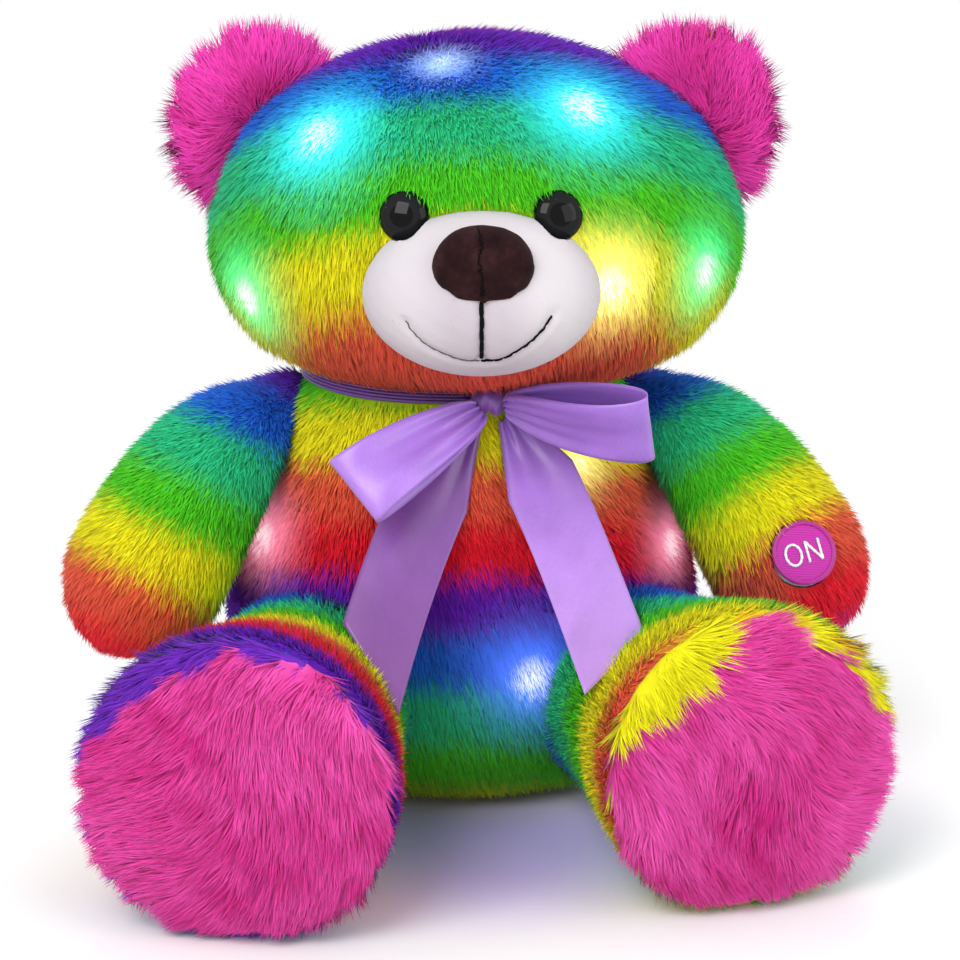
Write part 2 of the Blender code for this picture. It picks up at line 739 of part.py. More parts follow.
def bow_loop(side, sign, knot_place, root):
    """A teardrop of ribbon that starts and ends beside the knot."""
    length = LOOP_LENGTH[side]
    thickness = LOOP_THICKNESS[side]
    lean = Matrix.Rotation(sign * LOOP_LEAN[side], 4, "Y")
    forward = Matrix.Rotation(-sign * LOOP_FORWARD, 4, "Z")
    ahead = Matrix.Translation(-Y_WAY * LOOP_AHEAD)
    place = knot_place @ ahead @ lean @ forward @ Matrix.Diagonal((sign, 1, 1, 1))
    begin = LOOP_BEGIN_SHARE * KNOT_RADII[0]
    route = []
    widths = []
    for step in range(LOOP_POINTS):
        angle = LOOP_START + (2 * math.pi - 2 * LOOP_START) * step / (LOOP_POINTS - 1)
        far = (math.cos(LOOP_START) - math.cos(angle)) / (1 + math.cos(LOOP_START))
        side_way = math.sin(angle) * math.sin(angle / 2)
        route.append((Vector((begin + (length - begin) * far, thickness / 2 * side_way, 0)), Z_WAY))
        widths.append(RIBBON_WIDTH * (PINCHED_SHARE + (1 - PINCHED_SHARE) * math.sqrt(far)))
    ribbon("bow_loop_" + side, route, widths, place, "satin", root)


def bow_tail(side, sign, root):
    """A ribbon end that leaves the knot's underside, follows the chest and comes down on the leg's top. Its
    outer edge is cut shorter."""
    start_z = KNOT_Z - KNOT_RADII[2] - GAP - RIBBON
    start = Vector((KNOT_X + sign * TAIL_SPREAD, KNOT_Y + TAIL_BEHIND, start_z))
    end = Vector((TAIL_X[side], TAIL_Y[side], TAIL_Z[side]))
    middle_y = TAIL_MIDDLE_SETBACK - TORSO_DEPTH / 2
    middle = Vector(((start.x + end.x) / 2, middle_y, KNOT_Z - TAIL_MIDDLE_DROP))
    route = []
    widths = []
    for step in range(TAIL_POINTS):
        t = step / (TAIL_POINTS - 1)
        centre = start * (1 - t) ** 2 + middle * 2 * t * (1 - t) + end * t**2
        way = ((middle - start) * (1 - t) + (end - middle) * t).normalized()
        across = (X_WAY - way * way.x).normalized() - way * sign * t * math.tan(TAIL_SLANT[side])
        route.append((centre, across))
        widths.append(RIBBON_WIDTH * (PINCHED_SHARE + (1 - PINCHED_SHARE) * min(t / TAIL_OPEN_SHARE, 1)))
    ribbon("bow_tail_" + side, route, widths, Matrix(), "satin", root)


# Lights and their leads


def bend_route(start, start_way, end, end_way, points=5):
    """A smooth bend that leaves the start one way and comes to the end from the other."""
    first = start + start_way * LEAD_BEND
    last = end + end_way * LEAD_BEND
    route = []
    for step in range(points):
        t = step / (points - 1)
        left = 1 - t
        route.append(start * left**3 + first * 3 * left**2 * t + last * 3 * left * t**2 + end * t**3)
    return route


def lead(name, route, radius=LEAD_RADIUS):
    return tube(name, route, [radius] * len(route), 1)


def lead_channel(name, route, start_way):
    """The space that a lead takes, running a little past its start."""
    longer = [route[0] - start_way * LEAD_OVERLAP, *route]
    return tube(name, longer, [LEAD_RADIUS + GAP] * len(longer), 1)


def led_top():
    """How far below the cover's outer face a light's tip lies."""
    return -(FABRIC + GAP)


def led(name, place, look, body, stuffing):
    low = led_top() - LED_LENGTH
    outline = [(LED_RADIUS * r, low + LED_LENGTH * h) for r, h in LED_SHARES]
    light = turned(name, outline, 8, place)
    cut(stuffing, cylinder(name + " pocket", place, low - GAP, 0, LED_RADIUS + GAP, 8))
    finish(light, look, body)


def splice(name, centre, ends, body, stuffing):
    """A splice sleeve with a lead to each end, and its space in the stuffing. Each end is a name, a point
    and the way in which its lead sets out. Returns the leads' spaces by name."""
    half = SPLICE_LENGTH / 2
    at_centre = Matrix.Translation(centre)
    sleeve = cylinder(name, at_centre, -half, half, SPLICE_RADIUS, 10)
    cut(stuffing, cylinder(name + " space", at_centre, -half - GAP, half + GAP, SPLICE_RADIUS + GAP, 12))
    channels = {}
    for end_name, point, way in ends:
        route = bend_route(point, way, centre, Vector())
        join(sleeve, lead(f"{name} {end_name}", route))
        channels[end_name] = lead_channel(f"{name} {end_name} space", route, way)
        cut(stuffing, channels[end_name])
    finish(sleeve, "lead plastic", body)
    return channels


def lights(prefix, form, degrees, heights, body, stuffing):
    """The lights just under the cover, and the lead ends at their backs."""
    ends = []
    for number, (azimuth, height) in enumerate(zip(degrees, heights), 1):
        place = form.on_surface(math.radians(azimuth), height)
        name = f"{prefix}_led_{number}"
        led(name, place, "clear plastic", body, stuffing)
        back = place @ Vector((0, 0, led_top() - LED_LENGTH - GAP))
        ends.append((name, back, place.to_3x3() @ -Z_WAY))
    return ends


def torso_lights(root, cover, stuffing, board_top):
    heights = [NECK_Z * share for share in TORSO_LED_SHARES]
    ends = lights("torso", torso_form, TORSO_LED_DEGREES, heights, root, stuffing)
    ends.append(("neck", Vector((0, 0, NECK_Z)), -Z_WAY))
    point, normal = shoulder_seam("right")
    ends.append(("shoulder", point, -normal))
    ends.append(("board", board_top, Z_WAY))
    centre = Vector((0, TORSO_SPLICE_Y, TORSO_SPLICE_Z))
    channels = splice("torso_led_wires", centre, ends, root, stuffing)
    cut(cover, channels["shoulder"])
    return channels["board"]


def head_lights(body, stuffing):
    heights = [head_z(share) for share in HEAD_LED_SHARES]
    ends = lights("head", head_form, HEAD_LED_DEGREES, heights, body, stuffing)
    ends.append(("neck", Vector((0, 0, NECK_Z + GAP)), Z_WAY))
    splice("head_led_wires", Vector((0, 0, head_z(HEAD_SPLICE_SHARE))), ends, body, stuffing)


# Switch in the right hand


def switch(arm_body, button_body, cover, stuffing):
    hand = hand_centre("right")
    place = frame_on(hand, PRESS_DIRECTION)
    patch_low = PATCH_FACE - PATCH
    patch = cylinder("on_patch", place, patch_low, PATCH_FACE, PATCH_RADIUS, 24)
    disc_top = patch_low - GAP
    disc_low = disc_top - PLUNGER_DISC
    plunger = cylinder("switch_plunger", place, disc_low, disc_top, PLUNGER_RADIUS, 20)
    stem_low = disc_low - PLUNGER_STEM
    join(plunger, cylinder("plunger stem", place, stem_low, disc_top - GAP, PLUNGER_STEM_RADIUS, 12))
    housing_top = disc_low - PRESS_TRAVEL - GAP
    housing_low = housing_top - HOUSING
    housing = cylinder("switch_housing", place, housing_low, housing_top, HOUSING_RADIUS, 20)
    bore_low = stem_low - PRESS_TRAVEL - GAP
    bore_radius = PLUNGER_STEM_RADIUS + GAP
    cut(housing, cylinder("switch bore", place, bore_low, housing_top + OVERRUN, bore_radius, 14))
    cut(cover, cylinder("patch hole", place, housing_low, PATCH_FACE + OVERRUN, PATCH_RADIUS + GAP, 24))
    pocket_radius = max(HOUSING_RADIUS, PATCH_RADIUS) + GAP
    cut(stuffing, cylinder("switch pocket", place, housing_low - GAP, PATCH_FACE, pocket_radius, 24))
    point, normal = shoulder_seam("right")
    start = point + normal * GAP
    end = place @ Vector((0, 0, housing_low - 2 * GAP))
    route = bend_route(start, normal, end, -PRESS_DIRECTION, 8)
    wire = lead("switch_lead", route)
    cut(stuffing, lead_channel("switch lead space", route, normal))
    finish(patch, "patch cloth", button_body)
    finish(plunger, "white plastic", button_body)
    finish(housing, "white plastic", arm_body)
    finish(wire, "lead plastic", arm_body)


# Battery box and its pouch


def battery(root, stuffing):
    """The pouch and what it holds. Returns where the lead leaves the board, and the pieces that it goes
    through."""
    back = BACK_Y - FABRIC - GAP
    pitch = 2 * CELL_RADIUS + CELL_SPACING
    half = (3 * pitch + CELL_SPACING) / 2 + BOX_WALL
    pouch_half = half + GAP + POUCH_WALL
    low = POUCH_BOTTOM_Z + POUCH_WALL + GAP
    cell_low = low + BOX_WALL + GAP + CONTACT + CONTACT_CONE + GAP
    cell_top = cell_low + CELL_LENGTH
    boss_low = cell_top + GAP + CONTACT_CONE + CONTACT + GAP
    bay_low = boss_low + SCREW_BOSS
    top = bay_low + BOARD_BAY + BOX_WALL
    front = back - POUCH_DEPTH + POUCH_WALL + GAP
    pouch_top = top + GAP + POUCH_WALL
    tray_back = back - 3 * GAP - COVER_PLATE
    cell_y = front + BOX_WALL + GAP + CELL_RADIUS

    outer = box("battery_pouch", (-pouch_half, back - POUCH_DEPTH, POUCH_BOTTOM_Z), (pouch_half, back, pouch_top))
    inner_low = (-half - GAP, front - GAP, POUCH_BOTTOM_Z + POUCH_WALL)
    cut(outer, box("pouch space", inner_low, (half + GAP, back + OVERRUN, top + GAP)))
    wide = pouch_half + GAP
    room_low = (-wide, back - POUCH_DEPTH - GAP, POUCH_BOTTOM_Z - GAP)
    cut(stuffing, box("pouch room", room_low, (wide, back + OVERRUN, pouch_top + GAP)))

    tray = box("battery_tray", (-half, front, low), (half, tray_back, top))
    inside = half - BOX_WALL
    floor = front + BOX_WALL
    cut(tray, box("cell bay", (-inside, floor, low + BOX_WALL), (inside, back, boss_low)))
    cut(tray, box("board bay", (-inside, floor, bay_low), (inside, back, top - BOX_WALL)))
    screw_z = (boss_low + bay_low) / 2
    screw_place = frame_on((0, tray_back, screw_z), Y_WAY)
    hole_radius = SCREW_RADIUS + GAP
    cut(tray, cylinder("screw bore", screw_place, -SCREW_LENGTH - GAP, OVERRUN, hole_radius, 12))

    plate_low = GAP
    plate_top = GAP + COVER_PLATE
    cover = box("battery_cover", (-half, tray_back + plate_low, low), (half, tray_back + plate_top, top))
    head_low = plate_top - SCREW_HEAD
    cut(cover, cylinder("screw hole", screw_place, 0, OVERRUN, hole_radius, 12))
    head_room = SCREW_HEAD_RADIUS + GAP
    cut(cover, cylinder("screw head seat", screw_place, head_low - GAP, OVERRUN, head_room, 16))
    screw = cylinder("battery_cover_screw", screw_place, head_low, plate_top, SCREW_HEAD_RADIUS, 16)
    join(screw, cylinder("screw shank", screw_place, -SCREW_LENGTH, head_low + GAP, SCREW_RADIUS, 10))

    for number in (1, 2, 3):
        upright = number != 2
        x = (number - 2) * pitch
        place = Matrix.Translation((x, cell_y, cell_low if upright else cell_top))
        if not upright:
            place = place @ Matrix.Rotation(math.pi, 4, "X")
        shoulder = CELL_LENGTH - CELL_NUB
        outline = (
            (CELL_NUB_RADIUS, CELL_LENGTH), (CELL_NUB_RADIUS, shoulder),
            (CELL_RADIUS, shoulder), (CELL_RADIUS, 0),
        )
        finish(turned(f"battery_cell_{number}", outline, 16, place), "cell jacket", root)

    contact_low = low + BOX_WALL + GAP
    contact_top = boss_low - GAP
    for name, plate, way in (("bottom", contact_low, 1), ("top", contact_top, -1)):
        other = plate + way * CONTACT
        side = inside - GAP
        corner = (side, cell_y + CELL_RADIUS / 2, max(plate, other))
        strip = box(f"battery_contacts_{name}", (-side, cell_y - CELL_RADIUS / 2, min(plate, other)), corner)
        for step in (-1, 0, 1):
            place = Matrix.Translation((step * pitch, cell_y, plate)) @ frame_on((0, 0, 0), Z_WAY * way)
            tip = CONTACT + CONTACT_CONE
            spring = cone(f"{name} spring {step}", place, CONTACT / 2, tip, CONTACT_CONE_RADIUS,
                          CELL_NUB_RADIUS / 2, 8)
            join(strip, spring)
        finish(strip, "steel", root)

    board_y = (floor + tray_back) / 2
    board_low = bay_low + GAP
    corner = (BOARD_WIDTH / 2, board_y + BOARD_DEPTH / 2, board_low + BOARD)
    board = box("control_board", (-BOARD_WIDTH / 2, board_y - BOARD_DEPTH / 2, board_low), corner)
    finish(outer, "pouch cloth", root)
    finish(tray, "black plastic", root)
    finish(cover, "black plastic", root)
    finish(screw, "steel", root)
    finish(board, "board", root)
    return Vector((0, board_y, board_low + BOARD + 2 * GAP)), (outer, tray)


# Zip in the back


def zip_fastener(root, slider_body, pull_body):
    face = BACK_Y + GAP
    top = ZIP_BOTTOM_Z + ZIP_LENGTH
    half = CHAIN_WIDTH / 2
    chain = box("zip_chain", (-half, face, ZIP_BOTTOM_Z), (half, face + CHAIN, top))
    edge = half + GAP
    outer = edge + TAPE_WIDTH
    tape_low = (-outer, face, ZIP_BOTTOM_Z - GAP - TAPE_END)
    tape = box("zip_tape", tape_low, (outer, face + TAPE, top + GAP + TAPE_END))
    cut(tape, box("chain room", (-edge, 0, ZIP_BOTTOM_Z - GAP), (edge, BACK_Y + OVERRUN, top + GAP)))

    plate_y = face + CHAIN + GAP
    middle = top - SLIDER_LENGTH / 2
    low = middle - SLIDER_LENGTH / 2
    wide = SLIDER_WIDTH / 2
    slider_low = (-wide, face + TAPE + GAP, low)
    slider = box("zip_slider", slider_low, (wide, plate_y + SLIDER_PLATE, low + SLIDER_LENGTH))
    cut(slider, box("slider channel", (-edge, 0, low - OVERRUN), (edge, plate_y, top + OVERRUN)))
    pin_y = pull_axis()[1]
    lug_inner = half + LUG_CLEARANCE
    for sign in SIDES.values():
        near = sign * lug_inner
        far = sign * (lug_inner + LUG)
        lug_low = (min(near, far), plate_y + SLIDER_PLATE / 2, middle - LUG_HEIGHT / 2)
        lug_high = (max(near, far), pin_y + LUG_HEIGHT / 2, middle + LUG_HEIGHT / 2)
        join(slider, box(f"slider lug {sign}", lug_low, lug_high))
    pin_place = frame_on((0, pin_y, middle), X_WAY)
    reach = lug_inner + LUG / 2
    join(slider, cylinder("slider pin", pin_place, -reach, reach, PIN_RADIUS, 10))

    bore = PIN_RADIUS + GAP
    neck_half = lug_inner - GAP
    pull = cylinder("zip_pull", pin_place, -neck_half, neck_half, bore + EYE_WALL, 14)
    thin = PULL / 2
    neck_low = (-neck_half, pin_y - thin, middle - PULL_NECK)
    join(pull, box("pull neck", neck_low, (neck_half, pin_y + thin, middle)))
    tab_low = (-PULL_WIDTH / 2, pin_y - thin, middle - PULL_LENGTH)
    join(pull, box("pull tab", tab_low, (PULL_WIDTH / 2, pin_y + thin, middle - PULL_NECK + PULL)))
    cut(pull, cylinder("pull bore", pin_place, -OVERRUN, OVERRUN, bore, 14))
    finish(chain, "zip tape", root)
    finish(tape, "zip tape", root)
    finish(slider, "steel", slider_body)
    finish(pull, "steel", pull_body)


def pull_axis():
    """Where the pull's pin crosses the middle plane."""
    plate_top = BACK_Y + GAP + CHAIN + GAP + SLIDER_PLATE
    pin_y = plate_top + GAP + PIN_RADIUS + GAP + EYE_WALL
    return Vector((0, pin_y, ZIP_BOTTOM_Z + ZIP_LENGTH - SLIDER_LENGTH / 2))


# The whole bear


def stand(root):
    """Moves the bear so that the middle of its box stands over the origin."""
    graph = bpy.context.evaluated_depsgraph_get()
    low = Vector((SPACE, SPACE, SPACE))
    high = -low
    for obj in part_collection.objects:
        if obj.type != "MESH":
            continue
        shown = obj.evaluated_get(graph)
        for vertex in shown.data.vertices:
            place = shown.matrix_world @ vertex.co
            low = Vector(map(min, low, place))
            high = Vector(map(max, high, place))
    middle = (low + high) / 2
    root.location = (-middle.x, -middle.y, 0)


def main():
    for old in list(bpy.data.objects):
        bpy.data.objects.remove(old)
    bpy.context.scene.collection.children.link(part_collection)
    bpy.context.scene.collection.children.link(cutter_collection)

    root = axis("bear", (0, 0, 0), None)
    head_body = axis("head_axis", (0, 0, NECK_Z), root)
    slider_body = axis("zip_slider_axis", pull_axis(), root)
    pull_body = axis("zip_pull_axis", pull_axis(), slider_body)

    torso_cover, torso_stuffing = torso(root)
    board_top, pierced = battery(root, torso_stuffing)
    board_lead = torso_lights(root, torso_cover, torso_stuffing, board_top)
    for obj in pierced:
        cut(obj, board_lead)
    zip_fastener(root, slider_body, pull_body)
    bow(root)

    head_cover, head_stuffing = head(head_body)
    face(head_body, head_cover, head_stuffing)
    ears(head_body)
    head_lights(head_body, head_stuffing)

    for side in SIDES:
        point, _ = shoulder_seam(side)
        arm_body = axis(side + "_arm_axis", point, root)
        arm_cover, arm_stuffing = arm(side, arm_body)
        if side == "right":
            patch_place = hand_centre(side) + PRESS_DIRECTION * PATCH_FACE
            button_body = axis("on_button_axis", patch_place, arm_body)
            switch(arm_body, button_body, arm_cover, arm_stuffing)
        point, _ = hip_seam(side)
        leg(side, axis(side + "_leg_axis", point, root))

    for obj in list(cutter_collection.objects):
        ride(obj, root)
    bpy.context.view_layer.update()
    stand(root)


main()
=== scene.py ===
# %% [markdown]
# # A plush night light
# A seated bear sewn from rainbow plush, with lights under its cover. The CAD model gives every solid its
# place and size. This script dresses it: pile grows from the cloth, satin gets its folds, and the floor,
# lamps and camera are set up as in a product photograph.

# %% The frame and the tools
import math
from dataclasses import dataclass

import bmesh
import bpy
import numpy as np
from mathutils import Matrix, Vector
from mathutils.bvhtree import BVHTree
from mathutils.kdtree import KDTree


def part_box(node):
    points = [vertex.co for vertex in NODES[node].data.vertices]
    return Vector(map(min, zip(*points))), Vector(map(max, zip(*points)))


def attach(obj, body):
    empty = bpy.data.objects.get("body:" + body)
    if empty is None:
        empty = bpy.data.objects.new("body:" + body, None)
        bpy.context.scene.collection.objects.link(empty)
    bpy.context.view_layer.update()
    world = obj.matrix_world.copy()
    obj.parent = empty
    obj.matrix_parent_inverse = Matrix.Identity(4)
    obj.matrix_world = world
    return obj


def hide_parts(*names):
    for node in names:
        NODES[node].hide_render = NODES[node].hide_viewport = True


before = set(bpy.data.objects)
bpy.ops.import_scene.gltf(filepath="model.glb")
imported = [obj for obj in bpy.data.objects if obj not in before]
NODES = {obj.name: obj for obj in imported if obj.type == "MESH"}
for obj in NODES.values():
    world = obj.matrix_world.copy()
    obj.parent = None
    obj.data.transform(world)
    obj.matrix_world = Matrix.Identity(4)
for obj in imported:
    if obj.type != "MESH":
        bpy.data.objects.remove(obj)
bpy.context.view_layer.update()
bpy.ops.object.select_all(action="DESELECT")
MM = 0.001
# Parts inside the covers, which the pile needn't keep clear of
HIDDEN_WORDS = ("stuffing", "led", "battery", "board", "washer")
INSIDE = [name for name in NODES if any(word in name for word in HIDDEN_WORDS)]


def linked(name, data):
    """A new object in the scene."""
    piece = bpy.data.objects.new(name, data)
    bpy.context.scene.collection.objects.link(piece)
    return piece


def belongs(piece, body, node=None):
    """Says which body carries a piece and which node it stands for."""
    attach(piece, body)
    if node:
        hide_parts(node)


# %% [markdown]
# ## Camera, lamps and floor
# The photograph looks slightly down at the bear from a little to its right hand, through a long lens. Two big
# soft lamps and a pale world give even light, so that a colour renders about as it is written. The floor is
# white to the camera and still takes the bear's shadow.

# %% Camera
AZIMUTH = math.radians(-4)
ELEVATION = math.radians(15.5)
DISTANCE = 1.2
TARGET = Vector((0.005, 0.0299, 0.107))
SENSOR = 36
LENS = 135

back_way = Vector((math.sin(AZIMUTH), -math.cos(AZIMUTH), 0)) * math.cos(ELEVATION)
back_way.z = math.sin(ELEVATION)
bpy.ops.object.camera_add(location=TARGET + back_way * DISTANCE)
camera = bpy.context.object
camera.name = "camera"
camera.rotation_euler = back_way.to_track_quat("Z", "Y").to_euler()
camera.data.sensor_width = SENSOR
camera.data.lens = LENS
camera.data.clip_end = 20
bpy.context.scene.camera = camera
print("camera", [round(c, 3) for c in camera.location])

# %% Lamps and world


def soft_lamp(name, place, size, power):
    """A square lamp that faces the bear."""
    bpy.ops.object.light_add(type="AREA", location=place)
    lamp = bpy.context.object
    lamp.name = name
    lamp.data.size = size
    lamp.data.energy = power
    lamp.rotation_euler = (Vector(place) - TARGET).to_track_quat("Z", "Y").to_euler()


soft_lamp("key lamp", (-0.7, -1.1, 1.2), 0.9, 17)
soft_lamp("fill lamp", (1.2, -0.9, 0.7), 1.1, 7.5)
soft_lamp("back lamp", (0.2, 1.2, 1.3), 0.9, 9)

world = bpy.data.worlds.new("pale studio")
bpy.context.scene.world = world
world.use_nodes = True
WORLD_LIGHT = 0.78
bpy.context.scene.view_settings.view_transform = "Standard"

# %% [markdown]
# ## Helpers for materials
# Every finish is one Principled shader. A value that is the same all over sits on the shader's own socket,
# and only what changes over the surface comes in by a link.

# %% Material helpers


def finish_of(name, colour, rough, **sockets):
    """A new material with its Principled shader set up. Socket names are written with underscores."""
    material = bpy.data.materials.new(name)
    material.use_nodes = True
    shader = material.node_tree.nodes["Principled BSDF"]
    shader.inputs["Base Color"].default_value = (*colour, 1)
    shader.inputs["Roughness"].default_value = rough
    for socket, value in sockets.items():
        shader.inputs[socket.replace("_", " ")].default_value = value
    return material


class Wiring:
    """Adds nodes to one tree and links them by short calls."""

    def __init__(self, tree):
        self.nodes = tree.nodes
        self.links = tree.links

    def node(self, kind, inputs=(), **settings):
        made = self.nodes.new("ShaderNode" + kind)
        for setting, value in settings.items():
            setattr(made, setting, value)
        for key, value in dict(inputs).items():
            if isinstance(value, bpy.types.NodeSocket):
                self.links.new(value, made.inputs[key])
            else:
                made.inputs[key].default_value = value
        return made

    def where(self):
        """The place on the object, in metres."""
        return self.node("TexCoord").outputs["Object"]

    def noise(self, vector, scale, detail=2, rough=0.5):
        sockets = {"Vector": vector, "Scale": scale, "Detail": detail, "Roughness": rough}
        return self.node("TexNoise", sockets).outputs[0]

    def bump(self, height, strength, depth):
        return self.node("Bump", {"Height": height, "Strength": strength, "Distance": depth}).outputs[0]

    def join(self, value, node, socket):
        self.links.new(value, node.inputs[socket])

    def maths(self, way, a, b=0.5, third=0.5, clamp=False):
        return self.node("Math", {0: a, 1: b, 2: third}, operation=way, use_clamp=clamp).outputs[0]

    def mix(self, share, a, b, way="MIX"):
        """Two colours mixed. The sockets of a colour Mix are numbers 0, 6 and 7."""
        return self.node("Mix", {0: share, 6: a, 7: b}, data_type="RGBA", blend_type=way).outputs[2]

    def ramp(self, value, stops, way="LINEAR"):
        """Stops are (place, colour). Returns the ramp's colour."""
        made = self.node("ValToRGB", {0: value})
        made.color_ramp.interpolation = way
        elements = made.color_ramp.elements
        while len(elements) < len(stops):
            elements.new(1)
        for element, (place, colour) in zip(elements, stops):
            element.position = place
            element.color = (*colour, 1)
        return made.outputs[0]


def wiring(material):
    return Wiring(material.node_tree), material.node_tree.nodes["Principled BSDF"]


def group(name, inputs, outputs):
    """A node group with named sockets. Returns the group, its wiring, and its input and output nodes."""
    tree = bpy.data.node_groups.new(name, "ShaderNodeTree")
    for socket, kind in inputs.items():
        tree.interface.new_socket(socket, in_out="INPUT", socket_type="NodeSocket" + kind)
    for socket, kind in outputs.items():
        tree.interface.new_socket(socket, in_out="OUTPUT", socket_type="NodeSocket" + kind)
    lines = Wiring(tree)
    return tree, lines, tree.nodes.new("NodeGroupInput"), tree.nodes.new("NodeGroupOutput")


print("helpers ready")

# %% White background and floor
lines = Wiring(world.node_tree)
rays = lines.node("LightPath")
seen = lines.maths("MAXIMUM", rays.outputs["Is Camera Ray"], rays.outputs["Is Glossy Ray"])
seen = lines.maths("MAXIMUM", seen, rays.outputs["Is Transmission Ray"])
strength = lines.maths("MULTIPLY_ADD", seen, 1 - WORLD_LIGHT, WORLD_LIGHT)
backdrop = world.node_tree.nodes["Background"]
backdrop.inputs["Color"].default_value = (1, 1, 1, 1)
lines.join(strength, backdrop, "Strength")

# Away from the bear the floor gives up its shading for an even white, which hides the horizon. Between the
# feet the blue of the light in the belly is painted into the floor's colour, a painted pool of light
FLOOR_WHITE = (0.90, 0.90, 0.91)
PAINTED_POOL_BLUE = (0.60, 0.50, 0.93)
PAINTED_POOL_PLACE = (0.003, -0.035, 0)
floor_finish = finish_of("white floor", FLOOR_WHITE, 0.9, Emission_Strength=1, Specular_IOR_Level=0)
lines, shader = wiring(floor_finish)
where = lines.where()
away = lines.node("VectorMath", {0: where}, operation="LENGTH").outputs["Value"]
bare = lines.node("MapRange", {0: away, 1: 0.26, 2: 0.60}).outputs[0]
apart = lines.node("VectorMath", {0: where, 1: PAINTED_POOL_PLACE}, operation="DISTANCE").outputs["Value"]
painted_pool = lines.node("MapRange", {0: apart, 1: 0.015, 2: 0.085}, interpolation_type="SMOOTHSTEP").outputs[0]
pale = lines.ramp(painted_pool, [(0, PAINTED_POOL_BLUE), (1, FLOOR_WHITE)])
lines.join(lines.mix(bare, pale, (0, 0, 0, 1)), shader, "Base Color")
lines.join(lines.ramp(bare, [(0, (0, 0, 0)), (1, (1, 1, 1))]), shader, "Emission Color")
bpy.ops.mesh.primitive_plane_add(size=12, location=(0, 0, 0))
floor = bpy.context.object
floor.name = "floor"
floor.data.materials.append(floor_finish)
print("floor laid")

# %% [markdown]
# ## The rainbow dye
# The short plush is dyed in soft bands that repeat every seven colours. Each lock of pile takes the colour of
# the spot where it is rooted, so a border is ragged at the size of a lock, as on real plush. Therefore the
# colour can't simply follow the place in space: every lock carries its own stripe number. It is kept in a UV
# map. U is the stripe number, from -7 to 14, and V is a row for the lock's shade plus the way from root to
# tip. Rows above the plain ones belong to the lights: there, V is how strongly the light shows.
# The pile is painted darker at the root and lighter at the tip: painted shade and a painted highlight.

# %% Dye and pile finish
BANDS = [
    (0.150, 0.014, 0.52),
    (0.018, 0.150, 0.78),
    (0.030, 0.62, 0.27),
    (0.090, 0.66, 0.018),
    (0.92, 0.86, 0.012),
    (0.88, 0.115, 0.060),
    (0.90, 0.012, 0.034),
]
BLEND = 0.24
FIRST_STRIPE = -7
STRIPE_COUNT = 21
SHADE_ROWS = 4
SHADE_STEP = 0.05
DARKEST_ROW = 0.94
CORE_FROM = 0.62
CORE_GAIN = 3.4
GLOW_FALL = 1.5
GLOW_STRENGTH = 1.15

dye, lines, entry, leave = group("rainbow dye", {"Stripe": "Float"}, {"Colour": "Color"})
stops = []
for index, colour in enumerate(BANDS):
    stops += [((index + BLEND) / len(BANDS), colour), ((index + 1 - BLEND) / len(BANDS), colour)]
turn_share = lines.maths("FRACT", lines.maths("DIVIDE", entry.outputs[0], len(BANDS)))
start_mix = tuple((a + b) / 2 for a, b in zip(BANDS[0], BANDS[-1]))
lines.join(lines.ramp(turn_share, [(0, start_mix), *stops, (1, start_mix)]), leave, 0)


def plush(name, glows, colour=None, deep=0.70, tip=1.12):
    """Pile that reads its UV map. glows has a colour for each light; colour has the stops of a plain dye."""
    material = finish_of(name, (0.5, 0.5, 0.5), 0.85, Sheen_Weight=0.05, Specular_IOR_Level=0.12)
    lines, shader = wiring(material)
    rows = SHADE_ROWS + len(glows)
    place = lines.node("SeparateXYZ", {0: lines.node("UVMap", uv_map="OFBake").outputs[0]})
    stripe = lines.maths("MULTIPLY_ADD", place.outputs[0], STRIPE_COUNT, FIRST_STRIPE)
    row_place = lines.maths("MULTIPLY", place.outputs[1], rows)
    row = lines.maths("FLOOR", row_place)
    along = lines.maths("FRACT", row_place)
    if colour:
        base = lines.ramp(place.outputs[0], colour)
    else:
        base = lines.node("Group", {0: stripe}, node_tree=dye).outputs[0]
    row_shade = lines.maths("MULTIPLY_ADD", row, SHADE_STEP, DARKEST_ROW)
    # Painted shade and highlight: darker to deep at the root and on the skin, lighter to tip at the lock's end
    depth = lines.ramp(along, [(0, (deep,) * 3), (0.5, (1,) * 3), (1, (tip,) * 3)])
    shaded = lines.mix(1, base, lines.mix(1, depth, row_shade, "MULTIPLY"), "MULTIPLY")
    if not glows:
        lines.join(shaded, shader, "Base Color")
        return material
    lit = lines.maths("GREATER_THAN", row, SHADE_ROWS - 0.5)
    strength = lines.maths("MULTIPLY", along, lit)
    share = lines.maths("DIVIDE", row_place, rows)
    glow_stops = [((SHADE_ROWS + k) / rows, colour) for k, colour in enumerate(glows)]
    glow = lines.ramp(share, [(0, glows[0]), *glow_stops[1:]], "CONSTANT")
    core = lines.maths("MULTIPLY", lines.maths("SUBTRACT", strength, CORE_FROM), CORE_GAIN, clamp=True)
    hot = lines.mix(core, glow, (1, 1, 1, 1))
    lines.join(lines.mix(strength, lines.mix(lit, shaded, base), hot), shader, "Base Color")
    power = lines.maths("POWER", strength, GLOW_FALL)
    lines.join(lines.mix(power, (0, 0, 0, 1), hot), shader, "Emission Color")
    shader.inputs["Emission Strength"].default_value = GLOW_STRENGTH
    return material


print("dye of", len(BANDS), "bands")

# %% [markdown]
# ## Skins
# The cloth under the pile starts from the CAD cover's outer side. The CAD cover is a closed shell, so a face
# is on the outer side if a ray that leaves it doesn't meet the shell again. Subdivision rounds the flat
# facets off.

# %% Copying a cover's outer side
RAY_START = 0.02 * MM
SHARP = math.radians(50)
CREASE = 0.8
SAME_PLACE = 0.01 * MM


def selected(piece):
    """Makes piece the one selected, active object."""
    bpy.ops.object.select_all(action="DESELECT")
    piece.select_set(True)
    bpy.context.view_layer.objects.active = piece


def apply_all(piece):
    selected(piece)
    for modifier in list(piece.modifiers):
        bpy.ops.object.modifier_apply(modifier=modifier.name)


